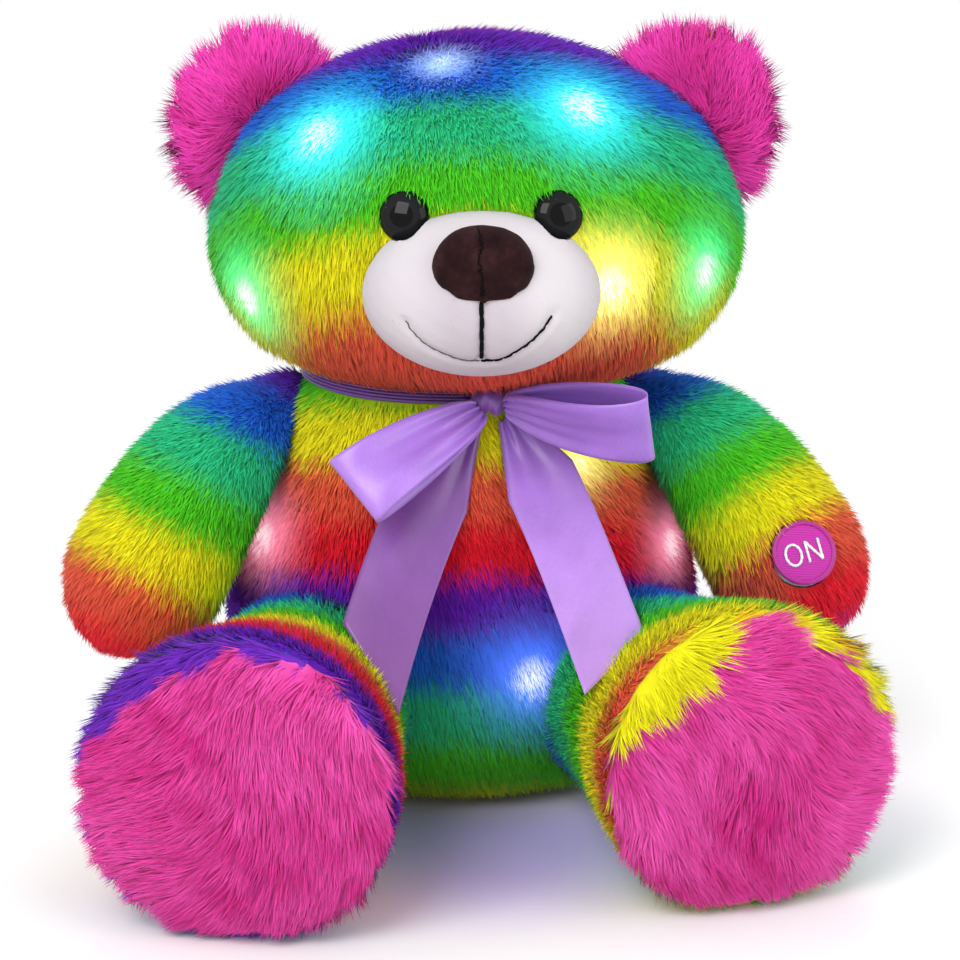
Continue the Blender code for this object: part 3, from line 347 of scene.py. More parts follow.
def copy_of(node, name):
    """A merged copy of a CAD node's mesh as a new object."""
    mesh = NODES[node].data.copy()
    mesh.name = name
    mesh.materials.clear()
    piece = linked(name, mesh)
    selected(piece)
    bpy.ops.object.mode_set(mode="EDIT")
    bpy.ops.mesh.select_all(action="SELECT")
    bpy.ops.mesh.remove_doubles(threshold=SAME_PLACE)
    bpy.ops.object.mode_set(mode="OBJECT")
    bpy.ops.object.shade_smooth()
    return piece


def skin_of(node, name, levels=2):
    """The outer side of a CAD cover, subdivided."""
    piece = copy_of(node, name)
    shape = bmesh.new()
    shape.from_mesh(piece.data)
    tree = BVHTree.FromBMesh(shape)
    inner = []
    for face in shape.faces:
        start = face.calc_center_median() + face.normal * RAY_START
        if tree.ray_cast(start, face.normal)[0]:
            inner.append(face)
    bmesh.ops.delete(shape, geom=inner, context="FACES")
    crease = shape.edges.layers.float.new("crease_edge")
    for edge in shape.edges:
        if len(edge.link_faces) == 2 and edge.calc_face_angle() > SHARP:
            edge[crease] = CREASE
    shape.to_mesh(piece.data)
    shape.free()
    rounder = piece.modifiers.new("round", "SUBSURF")
    rounder.levels = rounder.render_levels = levels
    apply_all(piece)
    return piece


# %% [markdown]
# ## Pile
# A real plush has a hundred thousand fibres that stick together in small locks. Hair particles would look
# right but are lost when the model is exported, so each lock is a tiny mesh, a slim three-sided cone that
# stands in the cloth. Numpy places them all at once, because an operator for each lock would take hours.
# Roots are spread by area, locks lean along a comb direction, and a lock that would run into a neighbouring
# piece or the floor is shortened or left out.

# %% Growing locks
BURIED = 0.4 * MM
CLEAR = 0.35 * MM
LEAST_LOCK = 0.3
NO_WALL = 9
ROOT_WANDER = 0.6
STRAY_STRIPE = 0.10
UV_STEP = 0.0011
SOFTNESS = 0.86
LEAST_FACING = 0.12
# In a row of the UV map a lock runs from ROW_START over ROW_SPAN; the skin lies below it, in painted shade
ROW_START = 0.04
ROW_SPAN = 0.92
SKIN_START = 0.02
SKIN_SPAN = 0.03
# Shares of a light's strength: the least that a lock or the skin shows, and what of it they show
LEAST_GLOW = 0.04
LEAST_SKIN_GLOW = 0.2
SKIN_GLOW = 0.7
ROOT_GLOW = 0.62
# A lock has three corners at its root and one at its tip
LOCK_FACES = np.array([(0, 1, 3), (1, 2, 3), (2, 0, 3)])
LOCK_TIPS = np.array([0, 0, 0, 1])
LOCK_SIDES = np.array([-1, 0, 1, 0.5])


def unit(vectors):
    return vectors / np.maximum(np.linalg.norm(vectors, axis=-1, keepdims=True), 1e-12)


def corners(mesh):
    """Vertex places and normals, and the triangles' vertex numbers, as arrays."""
    mesh.calc_loop_triangles()
    places = np.empty(len(mesh.vertices) * 3)
    mesh.vertices.foreach_get("co", places)
    normals = np.empty(len(mesh.vertices) * 3)
    mesh.vertices.foreach_get("normal", normals)
    triangles = np.empty(len(mesh.loop_triangles) * 3, np.int32)
    mesh.loop_triangles.foreach_get("vertices", triangles)
    return places.reshape(-1, 3), normals.reshape(-1, 3), triangles.reshape(-1, 3)


def put(piece, places):
    """Moves a piece's vertices to new places."""
    piece.data.vertices.foreach_set("co", places.astype(np.float32).ravel())
    piece.data.update()


def neighbours_of(*open_to):
    """A search tree of every CAD solid that a cover's pile must not enter."""
    points, faces = [], []
    for name, node in NODES.items():
        if name not in open_to and name not in INSIDE:
            places, _, triangles = corners(node.data)
            faces += (triangles + len(points)).tolist()
            points += places.tolist()
    return BVHTree.FromPolygons(points, faces)


@dataclass
class Pile:
    """How one kind of pile grows. The first three and clump are lengths."""

    length: float
    width: float
    spacing: float
    lean: float
    wander: float
    ragged: float = 0.25
    clump: float = 0
    hold: float = 0


SHORT = Pile(5.8 * MM, 0.35 * MM, 0.82 * MM, lean=1.8, wander=0.26)


def roots_on(places, normals, triangles, area, spacing, random):
    """Places spread evenly over the triangles, and the smoothed normals there."""
    count = int(area.sum() / spacing**2)
    pick = random.choice(len(area), count, p=area / area.sum())
    r1, r2 = np.sqrt(random.random(count)), random.random(count)
    share = np.stack([1 - r1, r1 * (1 - r2), r1 * r2], 1)[:, :, None]
    root = (places[triangles[pick]] * share).sum(1)
    return root, unit((normals[triangles[pick]] * share).sum(1))


def fitted(root, normal, straight, length, full, blocked):
    """Lengths cut short where a neighbour or the floor is near, and which locks are long enough to stay."""
    room = np.empty(len(root))
    for index, (start, direction) in enumerate(zip(root, straight)):
        lifted = Vector(start) + Vector(normal[index]) * 2 * CLEAR
        found = blocked.ray_cast(lifted, direction, full * 1.5)[3]
        room[index] = NO_WALL if found is None else found
    length = np.minimum(length, room - CLEAR)
    length = np.where(root[:, 2] + straight[:, 2] * length < CLEAR, length * 0.5, length)
    return length, (length > LEAST_LOCK * full) & (root[:, 2] + straight[:, 2] * length > CLEAR)


def leaders_of(root, spacing, area, random):
    """For each lock the number of the lock that leads its clump."""
    count = max(int(area / spacing**2), 1)
    leaders = random.choice(len(root), min(count, len(root)), replace=False)
    tree = KDTree(len(leaders))
    for leader in leaders:
        tree.insert(root[leader], int(leader))
    tree.balance()
    return np.array([tree.find(place)[1] for place in root])


def locks_at(root, base, reach, pile, area, random):
    """The four corners of each lock, whose tip is drawn to its clump's leader."""
    tip = base + reach
    if pile.clump:
        leaders = leaders_of(root, pile.clump, area, random)
        tip = tip + (tip[leaders] - tip) * pile.hold
    spin = random.uniform(0, 2 * math.pi, len(root))
    width = pile.width * random.uniform(0.75, 1.25, len(root))
    along = unit(tip - base)
    side = unit(np.cross(along, unit(random.normal(size=root.shape))))
    other = np.cross(along, side)
    foot = []
    for corner in range(3):
        angle = spin + corner * 2 * math.pi / 3
        offset = side * np.cos(angle)[:, None] + other * np.sin(angle)[:, None]
        foot.append(base + width[:, None] * offset)
    return np.stack([*foot, tip], 1)


def soft_normals(locks, faces, base, normal):
    """Shading normals at the locks' corners: mostly the cloth's own, as light scatters through real pile, with
    some of the lock's roundness, and never against the corner's own face."""
    blend = unit(unit(locks - base[:, None]) * (1 - SOFTNESS) + normal[:, None] * SOFTNESS)
    blend = blend.reshape(-1, 3)[faces.ravel()]
    a, b, c = (locks.reshape(-1, 3)[faces[:, k]] for k in range(3))
    face = np.repeat(unit(np.cross(b - a, c - a)), 3, axis=0)
    short = np.maximum(LEAST_FACING - (blend * face).sum(1, keepdims=True), 0)
    return unit(blend + face * short)


def light_at(points, spot, radius):
    return np.exp(-(((points - spot) ** 2).sum(1)) / radius**2)


def dye_and_painted_light_places(stripe, places, triangles, root, glows, random):
    """Places in the UV map that plush() reads, for the skin's corners and for the locks' corners."""
    rows = SHADE_ROWS + len(glows)
    lock_stripe = stripe(root) + random.normal(0, STRAY_STRIPE, len(root))
    u = (lock_stripe[:, None] - FIRST_STRIPE) / STRIPE_COUNT + UV_STEP * LOCK_SIDES
    row = random.integers(0, SHADE_ROWS, len(root))
    v = (row[:, None] + ROW_START + ROW_SPAN * LOCK_TIPS) / rows
    skin_u = (stripe(places) - FIRST_STRIPE) / STRIPE_COUNT
    skin_v = (SKIN_START + SKIN_SPAN * random.random((len(triangles), 3))) / rows
    middles = places[triangles].mean(1)
    for index, (spot, radius) in enumerate(glows):
        dark = SHADE_ROWS + index + SKIN_START
        near = light_at(root, spot, radius)
        lit = near > LEAST_GLOW
        v[lit] = (dark + 0.95 * near[lit, None] * (ROOT_GLOW + (1 - ROOT_GLOW) * LOCK_TIPS)) / rows
        lit = light_at(middles, spot, radius) > LEAST_SKIN_GLOW
        skin_v[lit] = (dark + SKIN_GLOW * light_at(places, spot, radius)[triangles[lit]]) / rows
    return np.stack([skin_u[triangles], skin_v], 2).reshape(-1, 2), np.stack([u, v], 2).reshape(-1, 2)


def mesh_of(name, places, faces, uv, normals, material):
    """A mesh of triangles with the pile's UV map and its own shading normals."""
    mesh = bpy.data.meshes.new(name)
    mesh.vertices.add(len(places))
    mesh.vertices.foreach_set("co", places.astype(np.float32).ravel())
    mesh.loops.add(faces.size)
    mesh.loops.foreach_set("vertex_index", faces.ravel())
    mesh.polygons.add(len(faces))
    mesh.polygons.foreach_set("loop_start", np.arange(0, faces.size, 3, dtype=np.int32))
    mesh.polygons.foreach_set("use_smooth", np.ones(len(faces), bool))
    mesh.uv_layers.new(name="OFBake").uv.foreach_set("vector", uv.astype(np.float32).ravel())
    leaning = mesh.attributes.new("custom_normal", "FLOAT_VECTOR", "CORNER")
    leaning.data.foreach_set("vector", normals.astype(np.float32).ravel())
    mesh.update(calc_edges=True)
    mesh.materials.append(material)
    return mesh


def grow(skin, pile, comb, stripe, material, blocked, glows=(), seed=1, keep=None):
    """Replaces skin's mesh with the skin and its pile in one mesh, with the UV map that plush() reads."""
    random = np.random.default_rng(seed)
    places, normals, triangles = corners(skin.data)
    a, b, c = (places[triangles[:, k]] for k in range(3))
    area = np.linalg.norm(np.cross(b - a, c - a), axis=1) / 2
    root, normal = roots_on(places, normals, triangles, area, pile.spacing, random)
    if keep is not None:
        wanted = keep(root)
        root, normal = root[wanted], normal[wanted]
    way = comb(root, normal)
    way = unit(way - (way * normal).sum(1, keepdims=True) * normal)
    jitter = random.normal(0, pile.wander, root.shape)
    length = pile.length * (1 + pile.ragged * random.uniform(-1, 1, len(root)))
    first = unit(normal + way * pile.lean * 0.5 + jitter * ROOT_WANDER)
    last = unit(normal * 0.5 + way * pile.lean + jitter)
    length, stays = fitted(root, normal, unit(first + last), length, pile.length, blocked)
    reach = length[:, None] * (first / 2 + last / 2)
    root, normal, reach = root[stays], normal[stays], reach[stays]
    base = root - normal * BURIED
    locks = locks_at(root, base, reach, pile, area.sum(), random)
    lock_faces = (LOCK_FACES + 4 * np.arange(len(root))[:, None, None]).reshape(-1, 3)
    skin_uv, lock_uv = dye_and_painted_light_places(stripe, places, triangles, root, glows, random)
    soft = soft_normals(locks, lock_faces, base, normal)
    faces = np.concatenate([triangles, lock_faces + len(places)]).astype(np.int32)
    skin.data = mesh_of(
        skin.name, np.concatenate([places, locks.reshape(-1, 3)]), faces,
        np.concatenate([skin_uv, lock_uv[lock_faces.ravel()]]),
        np.concatenate([normals[triangles.ravel()], soft]), material,
    )
    print(skin.name, len(root), "locks,", len(faces), "triangles")


def linear(across, deep, up, start):
    """A stripe number that grows evenly over space. The rates are stripes to the metre."""
    rate = np.array((across, deep, up))
    return lambda places: places @ rate + start


def combed(x, y, z):
    """A comb direction that is the same all over."""
    return lambda places, normals: np.tile(np.array((x, y, z), float), (len(places), 1))


# %% [markdown]
# ## The striped covers
# The stripes were read off the photograph along each part of the bear and turn out to be flat layers in
# space: level on the torso, tilted back on the head, square to the arms and slanting over the feet.

# %% Head, torso and limbs
CYAN = (0.05, 0.85, 1.0)
COLD = (0.45, 0.65, 1.0)
LIME = (0.10, 1.0, 0.35)
WARM = (1.0, 0.95, 0.25)
ROSE = (1.0, 0.32, 0.50)
BLUE = (0.10, 0.22, 1.0)
GLOW = {
    "head_led_1": (CYAN, 17),
    "head_led_2": (COLD, 9),
    "head_led_3": (CYAN, 17),
    "head_led_4": (LIME, 14),
    "head_led_5": (WARM, 15),
    "head_led_6": (LIME, 13),
    "torso_led_1": (ROSE, 13),
    "torso_led_2": (WARM, 10),
    "torso_led_3": (ROSE, 12),
    "torso_led_4": (BLUE, 16),
}


def outer_tip(node, centre):
    """The corner of a light that is furthest from the middle of the part that it is in."""
    places, _, _ = corners(NODES[node].data)
    return places[np.linalg.norm(places - centre, axis=1).argmax()]


def lights_of(prefix, body_node):
    low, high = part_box(body_node)
    centre = np.array((low + high) / 2)
    names = sorted(name for name in GLOW if name.startswith(prefix))
    spots = [(outer_tip(name, centre), GLOW[name][1] * MM) for name in names]
    return spots, [GLOW[name][0] for name in names]


def dress(name, node, body, pile, comb, stripe, cloth, seed, shape=None, open_to=(), glows=()):
    """The outer side of a soft CAD solid with its pile, in the solid's stead."""
    skin = skin_of(node, name)
    if shape:
        reshaped(skin, *shape)
    grow(skin, pile, comb, stripe, cloth, neighbours_of(node, *open_to), glows, seed)
    belongs(skin, body, node)


# For each body the stripe rates of its dye and the way that its pile is combed
COVERS = {
    "head": ((-0.8, -26.6, -39.8, 11.60), (0.15, -0.2, -1.0)),
    "torso": ((-1.7, -12.9, -53.6, 11.52), (0.3, 0, -1.0)),
    "left_arm": ((-25.1, -10.1, -48.6, 6.51), (-0.5, -0.3, -0.9)),
    "right_arm": ((29.3, -20.3, -42.9, 6.18), (0.5, -0.3, -0.9)),
    "left_leg": ((-18.6, -58.8, 0, 0.80), (-0.2, -0.6, 0.3)),
    "right_leg": ((-18, -42, 8, 1.70), (0.2, -0.6, 0.3)),
}
for seed, (body, (rates, comb)) in enumerate(COVERS.items()):
    node = body + "_cover"
    spots, colours = lights_of(body, node)
    dress(
        body + "_plush", node, body, SHORT, combed(*comb), linear(*rates), plush(body + " plush", colours),
        seed, open_to=[body + "_sole_pad"], glows=spots,
    )

# %% [markdown]
# ## Long pink pile
# The soles and the fronts of the ears are a long-haired plush. Its locks are nearly twice as long, their
# lengths differ more, and their tips are drawn together in clumps, which leaves the darker creases between
# them. The cloth below lies deeper than the CAD solid's face, so that the tips end about where that face is.
# The ears' fronts are dished.

# %% Shaping and combing the long pile
CLUMPS = {"ragged": 0.35, "clump": 6 * MM, "hold": 0.35}
LONG = Pile(9.5 * MM, 0.34 * MM, 0.64 * MM, lean=2.0, wander=0.30, **CLUMPS)
PINK = (0.98, 0.110, 0.52)
# The darkest of these pinks is painted shade in the swells of the soles' pile
PINKS = [(0, (0.72, 0.016, 0.25)), (0.45, PINK), (0.50, PINK), (0.52, BANDS[0]), (0.75, (0.25, 0.05, 0.62))]
PINKS += [(0.77, (0.90, 0.16, 0.030)), (0.84, BANDS[4]), (1, BANDS[4])]
# EAR_PINKS runs from the painted shade in the middle of an ear's dished front to the pink at its rim
EAR_PINKS = [(0, (0.50, 0.006, 0.12)), (1, (0.93, 0.065, 0.50))]


def waves(places, scale, seed):
    """A smooth random value from -1 to 1 at each place; scale is about the size of one swell."""
    random = np.random.default_rng(seed)
    ways = unit(random.normal(size=(5, 3))) * math.pi / scale * random.uniform(0.7, 1.4, (5, 1))
    return np.sin(places @ ways.T + random.uniform(0, 6.3, 5)).mean(1) * 1.6


def rows_over(value):
    """Turns a value from 0 to 1 into the stripe number that plush() reads as a plain share."""
    return FIRST_STRIPE + STRIPE_COUNT * np.clip(value, 0.01, 0.99)


def swirled(way, turn, scale, seed, outward=None):
    """A comb direction that wanders, and may also point away from a centre."""

    def comb(places, normals):
        ways = np.tile(np.array(way, float), (len(places), 1))
        if outward:
            centre, share = outward
            ways = ways + unit(places - np.array(centre)) * share
        side = np.cross(normals, ways)
        angle = (turn * waves(places, scale, seed))[:, None]
        return ways * np.cos(angle) + side * np.sin(angle)

    return comb


def reshaped(piece, centre, axis, around, along, dish=0, radius=1, shift=(0, 0, 0)):
    """Scales a piece about an axis, dishes its front and shifts it."""
    places, _, _ = corners(piece.data)
    centre, axis = np.array(centre), unit(np.array(axis, float))
    height = (places - centre) @ axis
    radial = places - centre - height[:, None] * axis
    far = np.minimum(np.linalg.norm(radial, axis=1) / radius, 1)
    height = height * along * (1 - dish * (1 - far**2) ** 2 * (height > 0))
    put(piece, centre + radial * around + height[:, None] * axis + np.array(shift))


# %% Soles
# Round the upper rim the leg's own pile is brushed over the pink: each dip is (degrees, width, depth)
SOLES = {
    "left": (
        (-77 * MM, -98.1 * MM, 47.5 * MM), (-0.234, -0.971, 0.048), (-0.5, 0, -0.8), 0.62,
        [(118, 24, 0.09), (150, 16, 0.08)],
    ),
    "right": (
        (80 * MM, -83.1 * MM, 47.5 * MM), (0.295, -0.954, 0.054), (0.55, 0, -0.75), 0.93,
        [(122, 20, 0.20), (146, 16, 0.12), (66, 12, 0.10), (30, 14, 0.12)],
    ),
}
SOLE_RADIUS = 44 * MM
sole_cloth = plush("sole plush", [], PINKS, deep=0.80, tip=1.06)


def sole_tint_and_swell_shade(centre, rim_tint, dips, seed):
    """Pink with swells of painted shade, and the leg's colour where a lock stands beyond the dipping rim."""

    def stripe(places):
        away = places - np.array(centre)
        angle = np.degrees(np.arctan2(away[:, 2], away[:, 0]))
        limit = 1.02 + 0.03 * waves(places, 8 * MM, seed + 1) + 0.02 * waves(places, 1.5 * MM, seed + 4)
        for where, wide, depth in dips:
            limit -= depth * np.exp(-(((angle - where) / wide) ** 2))
        # Painted shade: the pink swells darker and lighter with the pile's ripples
        pink = 0.27 + 0.12 * waves(places, 24 * MM, seed) + 0.10 * waves(places, 7 * MM, seed + 2)
        beyond = np.hypot(away[:, 0], away[:, 2]) / SOLE_RADIUS - limit
        edge = (beyond < 0.05) * (waves(places, 12 * MM, seed + 3) > 0)
        tint = rim_tint - 0.12 * (rim_tint > 0.8) * edge
        return rows_over(np.where(beyond > 0, tint, np.clip(pink, 0, 0.48)))

    return stripe


for seed, (side, (centre, axis, way, rim_tint, dips)) in enumerate(SOLES.items(), 20):
    dress(
        side + "_sole_plush", side + "_sole_pad", side + "_leg", LONG,
        swirled(way, 0.9, 30 * MM, seed, (centre, 0.45)), sole_tint_and_swell_shade(centre, rim_tint, dips, seed),
        sole_cloth, seed, (centre, axis, 0.98, 0.84), [side + "_leg_cover"],
    )

# %% Ears
# For each ear its centre, its yaw in degrees, the stripe rates of its back and its shift
EARS = {
    "left": ((-67.9 * MM, 58.1 * MM, 225 * MM), 12.5, (0, 0, 50, -6.9), (2 * MM, -7 * MM, -1.5 * MM)),
    "right": ((78.0 * MM, 51.7 * MM, 225 * MM), -17.5, (-20, 0, 30, -0.6), (-2.5 * MM, -7 * MM, 0)),
}
EAR_RADIUS = 30 * MM
EAR_PILE = Pile(11 * MM, 0.36 * MM, 0.66 * MM, lean=1.5, wander=0.34, **CLUMPS)
ear_cloth = plush("ear plush", [], EAR_PINKS, deep=0.75, tip=1.08)
back_cloth = plush("ear back plush", [])


def ear_tint_and_cup_shade(centre, seed):
    def stripe(places):
        far = np.linalg.norm(places - np.array(centre), axis=1) / EAR_RADIUS
        # Painted shade: darkest in the middle of the dished front, lighter towards the rim, with soft swells
        return rows_over(0.30 + 0.75 * far**1.5 + 0.25 * waves(places, 14 * MM, seed))

    return stripe


for seed, (side, (centre, yaw, rates, shift)) in enumerate(EARS.items(), 30):
    front = (math.sin(math.radians(yaw)), -math.cos(math.radians(yaw)), 0)
    dress(
        f"ear_{side}_front_plush", f"ear_{side}_front", "head", EAR_PILE,
        swirled((0, 0, 0.3), 0.7, 24 * MM, seed, (centre, 1.0)), ear_tint_and_cup_shade(centre, seed),
        ear_cloth, seed, (centre, front, 0.90, 0.85, 0.62, EAR_RADIUS, shift),
        ["head_cover", f"ear_{side}_back"],
    )
    dress(
        f"ear_{side}_back_plush", f"ear_{side}_back", "head", SHORT, combed(0, 0, 1), linear(*rates),
        back_cloth, seed, (centre, front, 0.88, 0.85, 0, 1, shift),
        ["head_cover", f"ear_{side}_front"],
    )

# %% [markdown]
# ## Muzzle, nose and mouth
# The muzzle is sewn from white velboa, whose pile is barely a millimetre long. A seam runs down from the nose
# and parts into the smile. Where thread pulls the cloth in, the surface sinks into a groove, which is made by
# moving the vertices near the line. The thread itself is laid over the groove as single stitches.

# %% Muzzle and nose
VELBOA = Pile(0.8 * MM, 0.22 * MM, 0.70 * MM, lean=1.8, wander=0.3)
SEAM = ((-0.7, -55.4, 186.6), (-0.4, -55.6, 181.4), (-0.3, -54.1, 174.8), (0.1, -49, 166.6))
SMILE_LEFT = (
    (-23.8, -47.3, 179.2), (-21.4, -47.9, 175.5), (-18, -47.9, 172), (-11.5, -47.9, 168.4),
    (-4.8, -47.8, 166.1), (0.1, -48.6, 166.2),
)
SMILE_RIGHT = (
    (0.1, -48.6, 166.2), (5.4, -48.5, 166.4), (10.8, -50.4, 169.3), (16.2, -51.3, 173.8),
    (20.2, -51.7, 178.6), (22.3, -51.5, 182),
)
NOSE_SEAM = (
    (-1.3, -50.9, 209.6), (-0.7, -56.1, 206.3), (-1.2, -58.5, 199.1), (-0.5, -57.9, 191.2),
    (0.2, -55.8, 187.2),
)


def finer(path, step):
    """Points a step apart along a smooth line through the given points, in metres."""
    points = np.array(path) * MM
    reach = np.concatenate([[0], np.cumsum(np.linalg.norm(np.diff(points, axis=0), axis=1))])
    at = np.linspace(0, reach[-1], max(int(reach[-1] / step), 2))
    slope = np.gradient(points, reach, axis=0)
    index = np.clip(np.searchsorted(reach, at, side="right") - 1, 0, len(points) - 2)
    gap = (reach[index + 1] - reach[index])[:, None]
    s = (at - reach[index])[:, None] / gap
    one, two = points[index], points[index + 1]
    bend_one, bend_two = slope[index] * gap, slope[index + 1] * gap
    return (
        one * (1 + 2 * s) * (1 - s) ** 2 + bend_one * s * (1 - s) ** 2
        + two * s**2 * (3 - 2 * s) - bend_two * s**2 * (1 - s)
    )


def distance_to(path, places):
    line = finer(path, 0.5 * MM)
    return np.linalg.norm(places[:, None] - line[None], axis=2).min(1)


def sunk(piece, paths, depth, width):
    """Moves the surface inward along some lines."""
    places, normals, _ = corners(piece.data)
    for path in paths:
        pull = depth * np.exp(-((distance_to(path, places) / width) ** 2))
        places = places - normals * pull[:, None]
    put(piece, places)
    return BVHTree.FromPolygons(places.tolist(), [list(face.vertices) for face in piece.data.polygons])


muzzle = skin_of("muzzle", "muzzle_velboa", 3)
muzzle_face = sunk(muzzle, (SEAM, SMILE_LEFT, SMILE_RIGHT), 0.9 * MM, 1.7 * MM)
velboa = plush("velboa", [], [(0, (0.56, 0.50, 0.55)), (1, (0.68, 0.64, 0.67))], deep=0.97, tip=1.03)


def off_the_line(root):
    near = np.minimum(distance_to(SMILE_LEFT, root), distance_to(SMILE_RIGHT, root))
    return np.minimum(near, distance_to(SEAM, root)) > 0.5 * MM


grow(
    muzzle, VELBOA, combed(0, -0.3, -1), lambda places: rows_over(0.5 + 0.5 * waves(places, 25 * MM, 3)),
    velboa, neighbours_of("muzzle"), (), 40, off_the_line,
)
belongs(muzzle, "head", "muzzle")

suede = finish_of("brown suede", (0.020, 0.008, 0.009), 0.95, Sheen_Weight=0.03, Specular_IOR_Level=0.08)
lines, shader = wiring(suede)
nap = lines.noise(lines.where(), 130, 5, 0.6)
browns = [(0.3, (0.009, 0.003, 0.004)), (0.52, (0.021, 0.007, 0.008)), (0.75, (0.044, 0.016, 0.017))]
lines.join(lines.ramp(nap, browns), shader, "Base Color")
lines.join(lines.bump(lines.noise(lines.where(), 2600, 3), 0.6, 0.15 * MM), shader, "Normal")

NOSE_TAKE_IN = 0.92
nose = skin_of("nose", "nose_suede", 4)
places, normals, _ = corners(nose.data)
middle = places[:, 0].mean()
places[:, 0] = middle + (places[:, 0] - middle) * NOSE_TAKE_IN
lumps = 0.22 * MM * waves(places, 7 * MM, 8) + 0.10 * MM * waves(places, 3 * MM, 9)
put(nose, places + normals * lumps[:, None])
nose_face = sunk(nose, (NOSE_SEAM,), 1.0 * MM, 1.0 * MM)
nose.data.materials.append(suede)
belongs(nose, "head", "nose")
print("muzzle and nose dressed")

# %% Thread
thread_black = finish_of("black thread", (0.004, 0.004, 0.005), 0.8, Sheen_Weight=0.02, Specular_IOR_Level=0.05)
thread_white = finish_of("white thread", (0.86, 0.86, 0.88), 0.5, Sheen_Weight=0.3)
# The left smile's thread is a lighter grey copy of the black thread
thread_grey = finish_of("grey thread", (0.09, 0.08, 0.09), 0.6, Sheen_Weight=0.3)
for material in (thread_black, thread_white, thread_grey):
    lines, shader = wiring(material)
    lines.join(lines.bump(lines.noise(lines.where(), 4000, 1), 0.5, 0.1 * MM), shader, "Normal")


STITCH_STEPS = 6


def stitches(name, paths, face, length, radius, material):
    """Single stitches along lines on a surface: each is a tube that dips into the cloth at both ends."""
    curve = bpy.data.curves.new(name, "CURVE")
    curve.dimensions = "3D"
    curve.bevel_depth = radius
    curve.bevel_resolution = 1
    curve.use_fill_caps = True
    for path in paths:
        line = finer(path, length / STITCH_STEPS)
        for start in range(0, len(line) - STITCH_STEPS // 2, STITCH_STEPS):
            part = line[start:start + STITCH_STEPS + 1]
            spline = curve.splines.new("POLY")
            spline.points.add(len(part) - 1)
            for index, (point, place) in enumerate(zip(spline.points, part)):
                on, normal, _, _ = face.find_nearest(Vector(place))
                lift = math.sin(math.pi * index / (len(part) - 1)) ** 0.5
                point.co = (*(on + normal * radius * (0.7 * lift - 0.1)), 1)
                point.radius = 0.8 + 0.2 * lift
    selected(linked(name, curve))
    bpy.ops.object.convert(target="MESH")
    bpy.ops.object.shade_smooth()
    piece = bpy.context.object
    piece.data.materials.append(material)
    return piece


mouth = [
    stitches("mouth_seam", [SEAM], muzzle_face, 4.2 * MM, 0.75 * MM, thread_black),
    stitches("mouth_smile_right", [SMILE_RIGHT], muzzle_face, 3.4 * MM, 0.40 * MM, thread_black),
    stitches("mouth_smile_left", [SMILE_LEFT], muzzle_face, 3.4 * MM, 0.24 * MM, thread_grey),
    stitches("nose_seam", [NOSE_SEAM], nose_face, 3.4 * MM, 0.26 * MM, thread_black),
]
for piece in mouth:
    belongs(piece, "head")
print("mouth sewn")

# %% [markdown]
# ## Eyes
# Safety eyes are moulded domes with a stem that a washer locks behind the cloth. A profile turned round the
# eye's own axis gives the dome its true curve. How far a point lies from that axis is kept as an attribute,
# from which the finish takes the grey ring and the black middle.

# %% Eyes
EYES = {
    "left": ((-22.265, -21.163, 206.991), (-0.2653, -0.9280, 0.2614)),
    "right": ((25.671, -23.261, 206.991), (0.1835, -0.9476, 0.2614)),
}
EYE_RADIUS = 8 * MM
EYE_DOME = 5 * MM
EYE_BASE = -0.7 * MM
STEM_RADIUS = 2.5 * MM
STEM = 12 * MM


def lathe(name, profile, place, steps=64):
    """A profile of (radius, height) turned round Z with a Screw modifier, then put in place."""
    mesh = bpy.data.meshes.new(name)
    mesh.from_pydata([(r, 0, h) for r, h in profile], [(i, i + 1) for i in range(len(profile) - 1)], [])
    piece = linked(name, mesh)
    turn = piece.modifiers.new("turn", "SCREW")
    turn.steps = turn.render_steps = steps
    turn.use_merge_vertices = True
    turn.merge_threshold = 0.001 * MM
    apply_all(piece)
    far = piece.data.attributes.new("far", "FLOAT", "POINT")
    widest = max(r for r, _ in profile)
    far.data.foreach_set("value", [math.hypot(v.co.x, v.co.y) / widest for v in piece.data.vertices])
    bpy.ops.object.mode_set(mode="EDIT")
    bpy.ops.mesh.select_all(action="SELECT")
    bpy.ops.mesh.normals_make_consistent(inside=False)
    bpy.ops.object.mode_set(mode="OBJECT")
    piece.data.transform(place)
    bpy.ops.object.shade_smooth_by_angle(angle=math.radians(40))
    return piece


def standing_on(point, way):
    """A placement whose Z is the given way."""
    return Matrix.Translation(Vector(point) * MM) @ Vector(way).to_track_quat("Z", "Y").to_matrix().to_4x4()


eye_finish = finish_of("black eye", (0.003, 0.003, 0.004), 0.06, Specular_IOR_Level=0.15)
lines, shader = wiring(eye_finish)
far = lines.node("Attribute", attribute_name="far").outputs["Fac"]
ring = [
    (0, (0.001, 0.001, 0.0015)), (0.44, (0.001, 0.001, 0.0015)), (0.50, (0.010, 0.010, 0.012)),
    (0.80, (0.006, 0.006, 0.007)), (0.94, (0.002, 0.002, 0.0025)),
]
lines.join(lines.ramp(far, ring), shader, "Base Color")
dome = [(0, EYE_BASE + EYE_DOME)]
for degrees in range(84, -1, -6):
    angle = math.radians(degrees)
    rise = EYE_DOME * (0.16 + 0.84 * math.sin(angle))
    dome.append((EYE_RADIUS * math.cos(angle), EYE_BASE + rise))
dome += [(EYE_RADIUS * 0.97, EYE_BASE), (STEM_RADIUS, EYE_BASE)]
dome += [(STEM_RADIUS, EYE_BASE - STEM), (0, EYE_BASE - STEM)]
for side, (point, way) in EYES.items():
    eye = lathe(f"eye_{side}_glossy", dome, standing_on(point, way))
    eye.data.materials.append(eye_finish)
    belongs(eye, "head", "eye_" + side)
print("eyes set")

